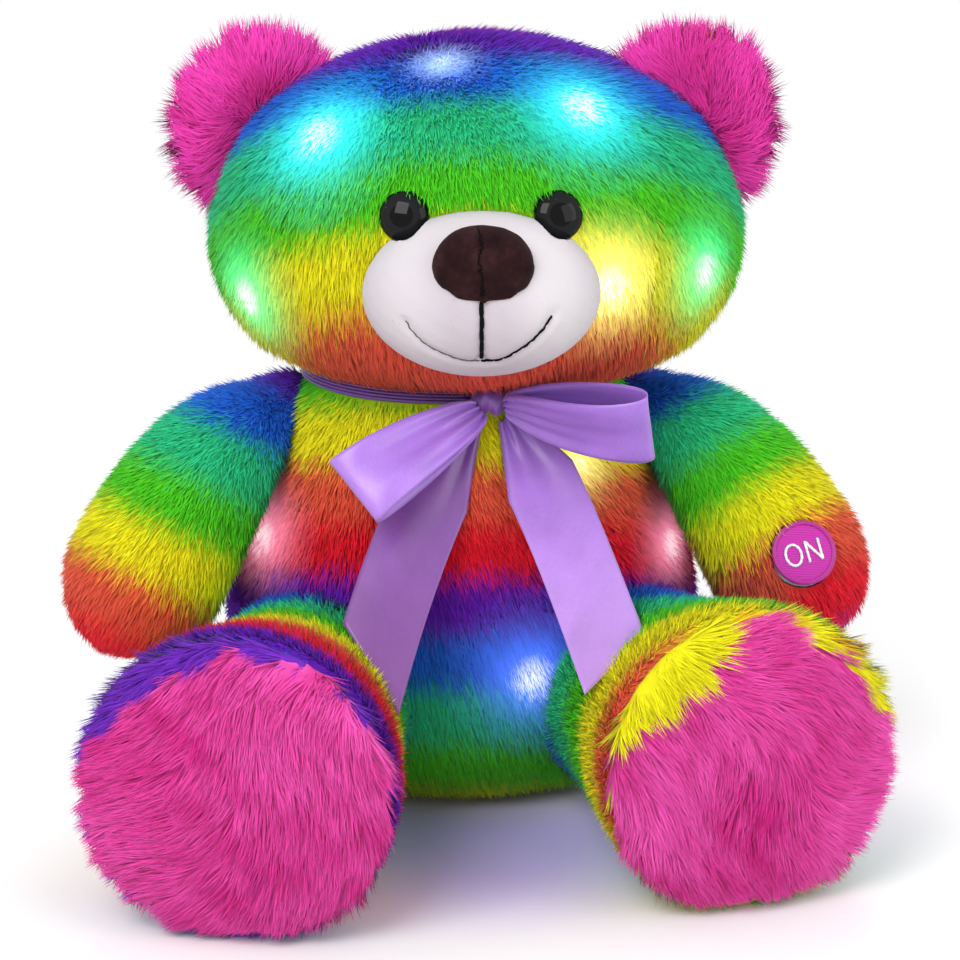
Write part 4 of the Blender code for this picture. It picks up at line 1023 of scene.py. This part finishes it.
# %% [markdown]
# ## The bow
# Every part of the bow is one strip of satin, laid along the same route as its CAD solid. The strip is
# pinched into pleats at the knot. The pleats of a loop's two layers move the same way, so they nest and don't
# cut through each other. A thin Solidify gives the cloth its thickness, and its own UV map, in metres,
# carries the weave.

# %% Satin
satin, lines, entry, leave = group("satin weave", {"Tint": "Color"}, {"Colour": "Color", "Normal": "Vector"})
flat = lines.node("UVMap", uv_map="cloth").outputs[0]
stretched = lines.node("Mapping", {"Vector": flat, "Scale": (5200, 420, 1)}).outputs[0]
weft = lines.noise(stretched, 1)
streak = lines.ramp(weft, [(0.25, (0.86,) * 3), (0.75, (1.08,) * 3)])
wash = lines.ramp(lines.noise(flat, 60), [(0.3, (0.90,) * 3), (0.7, (1.07,) * 3)])
lines.join(lines.mix(1, entry.outputs[0], lines.mix(1, streak, wash, "MULTIPLY"), "MULTIPLY"), leave, 0)
lines.join(lines.bump(weft, 0.35, 0.05 * MM), leave, 1)


def satin_with_painted_light(name, top, bottom, high, low):
    """Satin whose colour runs from one colour to another between two heights, painted light and shade."""
    material = finish_of(name, top, 0.36, Sheen_Weight=0.35, Sheen_Roughness=0.3, Specular_IOR_Level=0.6)
    lines, shader = wiring(material)
    height = lines.node("SeparateXYZ", {0: lines.where()}).outputs[2]
    share = lines.node("MapRange", {0: height, 1: low, 2: high}).outputs[0]
    cloth = lines.node("Group", {0: lines.ramp(share, [(0, bottom), (1, top)])}, node_tree=satin)
    lines.join(cloth.outputs[0], shader, "Base Color")
    lines.join(cloth.outputs[1], shader, "Normal")
    return material


# One lavender satin: painted light low on the loops and right tail, painted shade on left tail, knot and band
LAVENDER = (0.36, 0.165, 0.66)
PAINTED_SHADE_PLUM = (0.19, 0.055, 0.29)
loop_satin = satin_with_painted_light("lavender satin", LAVENDER, (0.40, 0.20, 0.70), 0.15, 0.11)
left_tail_satin = satin_with_painted_light("shaded lavender satin", (0.25, 0.095, 0.40), PAINTED_SHADE_PLUM, 0.13, 0.075)
right_tail_satin = satin_with_painted_light("lavender satin in painted light", (0.30, 0.13, 0.55), (0.47, 0.25, 0.72), 0.13, 0.09)
knot_satin_in_painted_shade = satin_with_painted_light("lavender satin in painted shade", (0.20, 0.075, 0.36), (0.24, 0.09, 0.42), 0.15, 0.13)

# %% Ribbon strips
KNOT = Vector((6.5, 0.69, 141.6)) * MM
KNOT_RADII = Vector((6.5, 5.5, 4.8)) * MM
RIBBON_WIDTH = 25 * MM
RIBBON = 0.3 * MM
PINCHED = 0.25


def grid(rows, columns, first=0):
    """The faces of a grid of corners, row by row."""
    faces = []
    for row in range(rows):
        for column in range(columns):
            corner = first + row * (columns + 1) + column
            faces.append((corner, corner + 1, corner + columns + 2, corner + columns + 1))
    return faces


def cloth_of(name, mesh, thickness, material):
    """A sheet with some thickness to both sides."""
    piece = linked(name, mesh)
    thick = piece.modifiers.new("cloth", "SOLIDIFY")
    thick.thickness = thickness
    thick.offset = 0
    apply_all(piece)
    piece.data.materials.append(material)
    return piece


def strip(node, route, widths, stands, material, columns=20):
    """A ribbon along a route of (centre, across), in a CAD node's stead, and its length. stands(t, v, normal)
    moves a point; v runs from -1 to 1."""
    centres = np.array([tuple(centre) for centre, _ in route])
    way = np.gradient(centres, axis=0)
    reach = np.concatenate([[0], np.cumsum(np.linalg.norm(np.diff(centres, axis=0), axis=1))])
    places, flat = [], []
    for index, ((centre, across), width) in enumerate(zip(route, widths)):
        t = index / (len(route) - 1)
        normal = Vector(way[index]).cross(across).normalized()
        for column in range(columns + 1):
            v = column / columns * 2 - 1
            places.append(centre + across * (v * width / 2) + stands(t, v, normal))
            flat.append((reach[index], v * RIBBON_WIDTH / 2))
    mesh = bpy.data.meshes.new(node + "_satin")
    mesh.from_pydata(places, [], grid(len(route) - 1, columns))
    layer = mesh.uv_layers.new(name="cloth")
    for loop in mesh.loops:
        layer.uv[loop.index].vector = flat[loop.vertex_index]
    piece = cloth_of(node + "_satin", mesh, RIBBON, material)
    bpy.ops.object.shade_smooth()
    belongs(piece, "torso", node)
    return piece, reach[-1]


# Each loop is (side, length, thickness, lean and roll in degrees), each tail (side, end, slant, satin)
LOOPS = {"left": (-1, 57 * MM, 14 * MM, 25, -30), "right": (1, 55 * MM, 15 * MM, 3, 26)}
LOOP_BEGIN = 0.76 * KNOT_RADII.x
LOOP_START = math.radians(22)
LOOP_STEPS = 72
LOOP_YAW = 28
LOOP_DROP = Vector((0, 2.8 * MM, 0))
for side, (sign, length, thickness, lean, roll) in LOOPS.items():
    place = (
        Matrix.Translation(KNOT - LOOP_DROP) @ Matrix.Rotation(math.radians(sign * lean), 4, "Y")
        @ Matrix.Rotation(math.radians(-sign * LOOP_YAW), 4, "Z")
        @ Matrix.Rotation(math.radians(roll), 4, "X") @ Matrix.Diagonal((sign, 1, 1, 1))
    )
    turn = place.to_3x3()
    route, widths, share = [], [], []
    for step in range(LOOP_STEPS + 1):
        angle = LOOP_START + (2 * math.pi - 2 * LOOP_START) * step / LOOP_STEPS
        far = (math.cos(LOOP_START) - math.cos(angle)) / (1 + math.cos(LOOP_START))
        aside = thickness / 2 * math.sin(angle) * math.sin(angle / 2)
        point = Vector((LOOP_BEGIN + (length - LOOP_BEGIN) * far, aside, 0))
        route.append((place @ point, turn @ Vector((0, 0, 1))))
        widths.append(RIBBON_WIDTH * (PINCHED + (1 - PINCHED) * math.sqrt(far)))
        share.append(far)

    def loop_folds(t, v, normal):
        far = share[round(t * LOOP_STEPS)]
        pleat = 1.1 * MM * (1 - far) ** 2 * math.cos(3.5 * math.pi * v + 0.6)
        swell = 0.9 * MM * math.sin(math.pi * far) * math.cos(1.3 * math.pi * v + sign)
        curl = 0.8 * MM * far * v * v * math.sin(5 * far + 2 * v)
        return turn @ Vector((0, pleat + swell + curl, 0))

    loop, reach = strip("bow_loop_" + side, route, widths, loop_folds, loop_satin)

TAILS = {
    "left": (-1, (-35, -49.5, 68.0), 47, left_tail_satin),
    "right": (1, (40.5, -65.5, 73.0), 36, right_tail_satin),
}
TAIL_STEPS = 60
for side, (sign, end, slant, material) in TAILS.items():
    start = KNOT + Vector((sign * 5.2 * MM, 1 * MM, -KNOT_RADII.z - 1.1 * MM))
    end = Vector(end) * MM
    middle = Vector(((start.x + end.x) / 2, -6.104 * MM, 112 * MM))
    route, widths = [], []
    for step in range(TAIL_STEPS + 1):
        t = step / TAIL_STEPS
        centre = start * (1 - t) ** 2 + middle * 2 * t * (1 - t) + end * t**2
        way = ((middle - start) * (1 - t) + (end - middle) * t).normalized()
        across = (Vector((1, 0, 0)) - way * way.x).normalized()
        route.append((centre, across - way * sign * t * math.tan(math.radians(slant))))
        widths.append(RIBBON_WIDTH * (PINCHED + (1 - PINCHED) * min(t / 0.35, 1)))

    def tail_folds(t, v, normal):
        pleat = 1.0 * MM * max(1 - t / 0.5, 0) ** 1.5 * math.cos(3 * math.pi * v + sign)
        swell = 0.9 * MM * math.sin(math.pi * t) * math.cos(1.1 * math.pi * v + 4 * t + sign)
        return normal * (pleat + swell)

    tail, reach = strip("bow_tail_" + side, route, widths, tail_folds, material)

# %% Neck ribbon and knot
NECK_STEPS = 160
NECK_FOLDS = 5
FOLD = 0.8 * MM
KNOT_GIRTH = 36 * MM
low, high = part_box("neck_ribbon")
middle = (low + high) / 2
half = (high - low) / 2
route = []
for step in range(NECK_STEPS + 1):
    angle = 2 * math.pi * step / NECK_STEPS
    point = Vector(((half.x - FOLD) * math.sin(angle), -(half.y - FOLD) * math.cos(angle), 0))
    route.append((middle + point, Vector((0, 0, 1))))


def neck_folds(t, v, normal):
    out = Vector((math.sin(2 * math.pi * t), -math.cos(2 * math.pi * t), 0))
    swing = math.cos(math.pi * NECK_FOLDS * v + 1.5 * math.sin(4 * math.pi * t))
    return out * FOLD * swing + Vector((0, 0, 0.3 * MM * math.sin(6 * math.pi * t)))


band, reach = strip("neck_ribbon", route, [2 * half.z] * len(route), neck_folds, knot_satin_in_painted_shade, 44)

bpy.ops.object.select_all(action="DESELECT")
bpy.ops.mesh.primitive_uv_sphere_add(segments=72, ring_count=36, radius=1, location=(0, 0, 0))
knot = bpy.context.object
knot.name = "bow_knot_satin"
for vertex in knot.data.vertices:
    x, y, z = vertex.co
    groove = 0.10 * math.exp(-(((x - 0.1 * z) / 0.12) ** 2))
    fold = 0.07 * math.cos(7 * x + 2.2 * z) + 0.04 * math.cos(13 * x - 3 * z + 1) - groove
    lift = 1 + fold * (1 - abs(x) ** 3)
    vertex.co = KNOT + Vector((x * KNOT_RADII.x, y * KNOT_RADII.y * lift, z * KNOT_RADII.z * lift))
cloth_map = knot.data.uv_layers[0]
cloth_map.name = "cloth"
for item in cloth_map.uv:
    item.vector = (item.vector[0] * KNOT_GIRTH, item.vector[1] * KNOT_GIRTH / 2)
knot.data.materials.append(knot_satin_in_painted_shade)
selected(knot)
bpy.ops.object.shade_smooth()
belongs(knot, "torso", "bow_knot")
print("bow tied")

# %% [markdown]
# ## The ON patch
# The button is an embroidered disc. Its edge is bound with thread that runs round and round it, made as a
# ring whose surface swells once for every turn of thread. The field is filled with close parallel stitches,
# and the two letters, the plain word for the switch, are sewn over it with white thread.

# %% Patch
PRESS_WAY = Vector((0.047, -0.905, 0.423)).normalized()
PATCH_FACE = Vector((107, 14.896, 80)) * MM + PRESS_WAY * 27 * MM
PATCH_RADIUS = 10.75 * MM
PATCH = 2.0 * MM
BINDING = 0.95 * MM
TURNS = 96

patch_right = (Vector((1, 0, 0)) - PRESS_WAY * PRESS_WAY.x).normalized()
patch_up = PRESS_WAY.cross(patch_right)
turned = Matrix((patch_right, patch_up, PRESS_WAY)).transposed().to_4x4()
patch_place = Matrix.Translation(PATCH_FACE) @ turned

field = finish_of("magenta embroidery", (0.55, 0.012, 0.38), 0.5, Sheen_Weight=0.1)
lines, shader = wiring(field)
wave = {"Vector": lines.where(), "Scale": 620, "Distortion": 1.2, "Detail": 1}
rows = lines.node("TexWave", wave, bands_direction="Z").outputs[1]
lines.join(lines.ramp(rows, [(0.1, (0.34, 0.004, 0.22)), (0.7, (0.60, 0.012, 0.42))]), shader, "Base Color")
lines.join(lines.bump(rows, 0.7, 0.12 * MM), shader, "Normal")

disc = [
    (0, -0.25 * MM), (6 * MM, -0.3 * MM), (9.2 * MM, -0.55 * MM), (9.9 * MM, -0.8 * MM),
    (9.9 * MM, -PATCH), (0, -PATCH),
]
patch = lathe("on_patch_field", disc, patch_place, 96)
patch.data.materials.append(field)

binding = finish_of("patch binding", (0.40, 0.006, 0.24), 0.45, Sheen_Weight=0.1)
bpy.ops.mesh.primitive_torus_add(
    major_segments=TURNS * 5, minor_segments=12, major_radius=PATCH_RADIUS - BINDING, minor_radius=BINDING
)
rim = bpy.context.object
rim.name = "on_patch_binding"
for vertex in rim.data.vertices:
    around = math.atan2(vertex.co.y, vertex.co.x)
    core = Vector((math.cos(around), math.sin(around), 0)) * (PATCH_RADIUS - BINDING)
    out = vertex.co - core
    slope = math.atan2(out.z, out.x * math.cos(around) + out.y * math.sin(around))
    vertex.co = core + out * (0.93 + 0.07 * math.cos(TURNS * around + slope)) - Vector((0, 0, BINDING))
rim.data.transform(patch_place)
rim.data.materials.append(binding)
lines, shader = wiring(binding)
tone = lines.ramp(lines.noise(lines.where(), 3000), [(0.3, (0.28, 0.003, 0.16)), (0.7, (0.50, 0.010, 0.32))])
lines.join(tone, shader, "Base Color")
selected(rim)
bpy.ops.object.shade_smooth()


def on_patch(points, tilt=math.radians(14)):
    """Points in millimetres on the patch's face, tilted, as places in millimetres for stitches()."""
    placed = []
    for x, y in points:
        across = x * math.cos(tilt) - y * math.sin(tilt)
        up = x * math.sin(tilt) + y * math.cos(tilt)
        placed.append(tuple((patch_place @ Vector((across * MM, up * MM, -0.25 * MM))) / MM))
    return placed


ring = [(-3.7 + 2.6 * math.sin(a), 3.5 * math.cos(a)) for a in np.linspace(0, 2 * math.pi, 13)]
strokes = [
    ring, [(1, -3.4), (1, 0), (1, 3.4)], [(1, 3.4), (3.2, 0), (5.4, -3.4)], [(5.4, -3.4), (5.4, 0), (5.4, 3.4)],
]
letters = [on_patch(stroke) for stroke in strokes]
patch_tree = BVHTree.FromPolygons(
    [v.co for v in patch.data.vertices], [list(face.vertices) for face in patch.data.polygons]
)
words = stitches("on_patch_thread", letters, patch_tree, 1.7 * MM, 0.48 * MM, thread_white)
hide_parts("on_patch")
for piece in (patch, rim, words):
    belongs(piece, "on_button")
print("patch sewn")

# %% [markdown]
# ## The zip in the back
# Two woven tapes carry the moulded teeth. One tooth is shaped from a cube and repeated by an Array modifier on
# each side, half a pitch apart, so that the rows mesh. The slider and its pull keep the CAD solids' shape,
# with their edges broken by a small bevel.

# %% Zip
tape_finish = finish_of("zip tape", (0.030, 0.030, 0.034), 0.85, Sheen_Weight=0.3)
lines, shader = wiring(tape_finish)
where = lines.where()
warp = lines.node("TexWave", {"Vector": where, "Scale": 900, "Distortion": 0.6}, bands_direction="X").outputs[1]
weft = lines.node("TexWave", {"Vector": where, "Scale": 700, "Distortion": 0.6}, bands_direction="Z").outputs[1]
weave = lines.maths("MULTIPLY", warp, weft)
tone = lines.ramp(weave, [(0.1, (0.016, 0.016, 0.019)), (0.8, (0.055, 0.055, 0.062))])
lines.join(tone, shader, "Base Color")
lines.join(lines.bump(weave, 0.6, 0.1 * MM), shader, "Normal")

low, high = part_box("zip_tape")
chain_low, chain_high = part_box("zip_chain")
TAPE_ROWS = 60
TAPE_COLUMNS = 8
TAPE_INSET = 0.4 * MM
tape_points, tape_faces = [], []
for sign in (-1, 1):
    faces = grid(TAPE_ROWS, TAPE_COLUMNS, len(tape_points))
    tape_faces += faces if sign < 0 else [face[::-1] for face in faces]
    for row in range(TAPE_ROWS + 1):
        z = low.z + (high.z - low.z) * row / TAPE_ROWS
        for column in range(TAPE_COLUMNS + 1):
            far = column / TAPE_COLUMNS
            x = sign * (TAPE_INSET + (high.x - TAPE_INSET) * far)
            ripple = 0.15 * MM * far * math.sin(row * 0.9 + sign)
            tape_points.append((x, (low.y + high.y) / 2 + ripple, z))
mesh = bpy.data.meshes.new("zip_tapes")
mesh.from_pydata(tape_points, [], tape_faces)
tapes = cloth_of("zip_tapes", mesh, 0.5 * MM, tape_finish)
belongs(tapes, "torso", "zip_tape")

tooth_finish = finish_of("zip teeth", (0.045, 0.045, 0.05), 0.32)
lines, shader = wiring(tooth_finish)
worn = lines.noise(lines.where(), 900, 3)
rough = lines.node("MapRange", {0: worn, 1: 0.3, 2: 0.7, 3: 0.24, 4: 0.42}).outputs[0]
lines.join(rough, shader, "Roughness")
PITCH = 1.65 * MM
TOOTH_LENGTH = 2.9 * MM
TOOTH_DEPTH = 1.7 * MM
TOOTH_OUT = 1.05 * MM
tooth_count = int((chain_high.z - chain_low.z) / PITCH)
rows = []
for sign in (-1, 1):
    bpy.ops.object.select_all(action="DESELECT")
    bpy.ops.mesh.primitive_cube_add(size=1)
    tooth = bpy.context.object
    for vertex in tooth.data.vertices:
        head_share = 0.95 if vertex.co.x * sign < 0 else 0.6
        vertex.co.x = vertex.co.x * TOOTH_LENGTH + sign * TOOTH_OUT
        vertex.co.y = vertex.co.y * TOOTH_DEPTH
        vertex.co.z = vertex.co.z * PITCH * head_share
    edge = tooth.modifiers.new("edge", "BEVEL")
    edge.width = 0.22 * MM
    edge.segments = 2
    repeat = tooth.modifiers.new("repeat", "ARRAY")
    repeat.count = tooth_count
    repeat.use_relative_offset = False
    repeat.use_constant_offset = True
    repeat.constant_offset_displace = (0, 0, PITCH)
    apply_all(tooth)
    start = Vector((0, (chain_low.y + chain_high.y) / 2, chain_low.z + PITCH * (0.5 if sign < 0 else 1)))
    tooth.data.transform(Matrix.Translation(start))
    rows.append(tooth)
bpy.ops.object.select_all(action="DESELECT")
for row in rows:
    row.select_set(True)
bpy.context.view_layer.objects.active = rows[0]
bpy.ops.object.join()
teeth = bpy.context.object
teeth.name = "zip_teeth"
teeth.data.materials.append(tooth_finish)
bpy.ops.object.shade_smooth_by_angle(angle=math.radians(35))
belongs(teeth, "torso", "zip_chain")

zinc = finish_of("zinc slider", (0.36, 0.36, 0.38), 0.3, Metallic=1.0)
lines, shader = wiring(zinc)
worn = lines.noise(lines.where(), 500, 4)
lines.join(lines.node("MapRange", {0: worn, 3: 0.2, 4: 0.48}).outputs[0], shader, "Roughness")
for node in ("zip_slider", "zip_pull"):
    metal = copy_of(node, node + "_bevelled")
    edge = metal.modifiers.new("edge", "BEVEL")
    edge.width = 0.18 * MM
    edge.segments = 2
    edge.limit_method = "ANGLE"
    edge.use_clamp_overlap = True
    apply_all(metal)
    bpy.ops.object.shade_smooth_by_angle(angle=math.radians(35))
    metal.data.materials.append(zinc)
    belongs(metal, node, node)
print("zip closed with", 2 * tooth_count, "teeth")

# %% [markdown]
# ## Inside
# The parts under the cover keep the shapes of their CAD solids and get their own finishes. The stuffing is
# soft, so it is shown by a lumpy copy that stays just inside the solid.


# %% Finishes of the inner parts
def speckled(name, dark, light, rough, scale, height=0.0, **sockets):
    """A finish with noise in its colour and roughness, and in its relief where a height is given."""
    material = finish_of(name, light, rough, **sockets)
    lines, shader = wiring(material)
    speck = lines.noise(lines.where(), scale, 4)
    gloss = lines.node("MapRange", {0: speck, 3: rough * 0.8, 4: min(rough * 1.2, 1)})
    lines.join(lines.ramp(speck, [(0.3, dark), (0.7, light)]), shader, "Base Color")
    lines.join(gloss.outputs[0], shader, "Roughness")
    if height:
        lines.join(lines.bump(speck, 0.5, height), shader, "Normal")
    return material


fibre = speckled("white fibre", (0.66, 0.66, 0.68), (0.86, 0.86, 0.87), 0.95, 700, 0.4 * MM, Sheen_Weight=0.4)
FINISHES = {
    "washer": speckled("white nylon", (0.70, 0.70, 0.69), (0.80, 0.80, 0.78), 0.45, 300),
    "plunger": speckled("white switch plastic", (0.74, 0.74, 0.72), (0.82, 0.82, 0.80), 0.4, 300),
    "housing": speckled("grey switch plastic", (0.42, 0.42, 0.43), (0.50, 0.50, 0.51), 0.45, 300),
    "wires": speckled("wire sleeve", (0.020, 0.020, 0.022), (0.035, 0.035, 0.038), 0.5, 400),
    "lead": speckled("wire sleeve red", (0.40, 0.010, 0.010), (0.52, 0.018, 0.015), 0.5, 400),
    "pouch": speckled("pouch cloth", (0.62, 0.62, 0.64), (0.80, 0.80, 0.82), 0.9, 1200, 0.1 * MM),
    "tray": speckled("black box plastic", (0.014, 0.014, 0.015), (0.022, 0.022, 0.024), 0.5, 900, 0.02 * MM),
    "battery_cover": speckled("lid plastic", (0.014, 0.014, 0.015), (0.024, 0.024, 0.026), 0.5, 900, 0.02 * MM),
    "screw": speckled("plated screw", (0.42, 0.42, 0.43), (0.58, 0.58, 0.60), 0.3, 500, Metallic=1.0),
    "contacts": speckled("spring steel", (0.50, 0.50, 0.51), (0.66, 0.66, 0.68), 0.28, 500, Metallic=1.0),
    "board": speckled("green board", (0.008, 0.085, 0.030), (0.015, 0.13, 0.05), 0.35, 400, Coat_Weight=0.4),
}
cell_finish = finish_of("battery cell", (0.02, 0.05, 0.02), 0.3)
lines, shader = wiring(cell_finish)
height = lines.node("SeparateXYZ", {0: lines.where()}).outputs[2]
low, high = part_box("battery_cell_1")
share = lines.node("MapRange", {0: height, 1: low.z, 2: high.z}).outputs[0]
CELL_END = (0.55, 0.55, 0.56)
jacket = lines.ramp(
    share, [(0, CELL_END), (0.04, (0.05, 0.22, 0.07)), (0.80, (0.45, 0.36, 0.05)), (0.96, CELL_END)], "CONSTANT"
)
lines.join(jacket, shader, "Base Color")
metal_ends = lines.ramp(share, [(0, (1,) * 3), (0.04, (0,) * 3), (0.96, (1,) * 3)], "CONSTANT")
lines.join(metal_ends, shader, "Metallic")
FINISHES["battery_cell"] = cell_finish

for name, node in NODES.items():
    fitting = [material for word, material in FINISHES.items() if word in name]
    if name in GLOW:
        tint = GLOW[name][0]
        lit = {"Emission_Color": (*tint, 1), "Emission_Strength": 2.0}
        fitting = [speckled("lens " + name, tuple(0.6 * c for c in tint), tint, 0.15, 300, **lit)]
    if fitting:
        node.data.materials.clear()
        node.data.materials.append(fitting[0])

# %% Stuffing
SOFT_INSIDE = {body + "_stuffing": (body, fibre, "fibre_stuffing", 0.7) for body in sorted(COVERS)}
SOFT_INSIDE["battery_pouch"] = ("torso", FINISHES["pouch"], "pouch_cloth", 0.4)
for name, (body, finish, slot, fill) in SOFT_INSIDE.items():
    wad = copy_of(name, name + "_soft")
    rounder = wad.modifiers.new("finer", "SUBSURF")
    rounder.subdivision_type = "SIMPLE"
    rounder.levels = rounder.render_levels = 2
    apply_all(wad)
    places, normals, _ = corners(wad.data)
    sink = 0.25 * MM * (1 + waves(places, 6 * MM, 50)).clip(0, 2)
    put(wad, places - normals * sink[:, None])
    wad.data.materials.append(finish)
    belongs(wad, body, name)
print("inner parts finished")
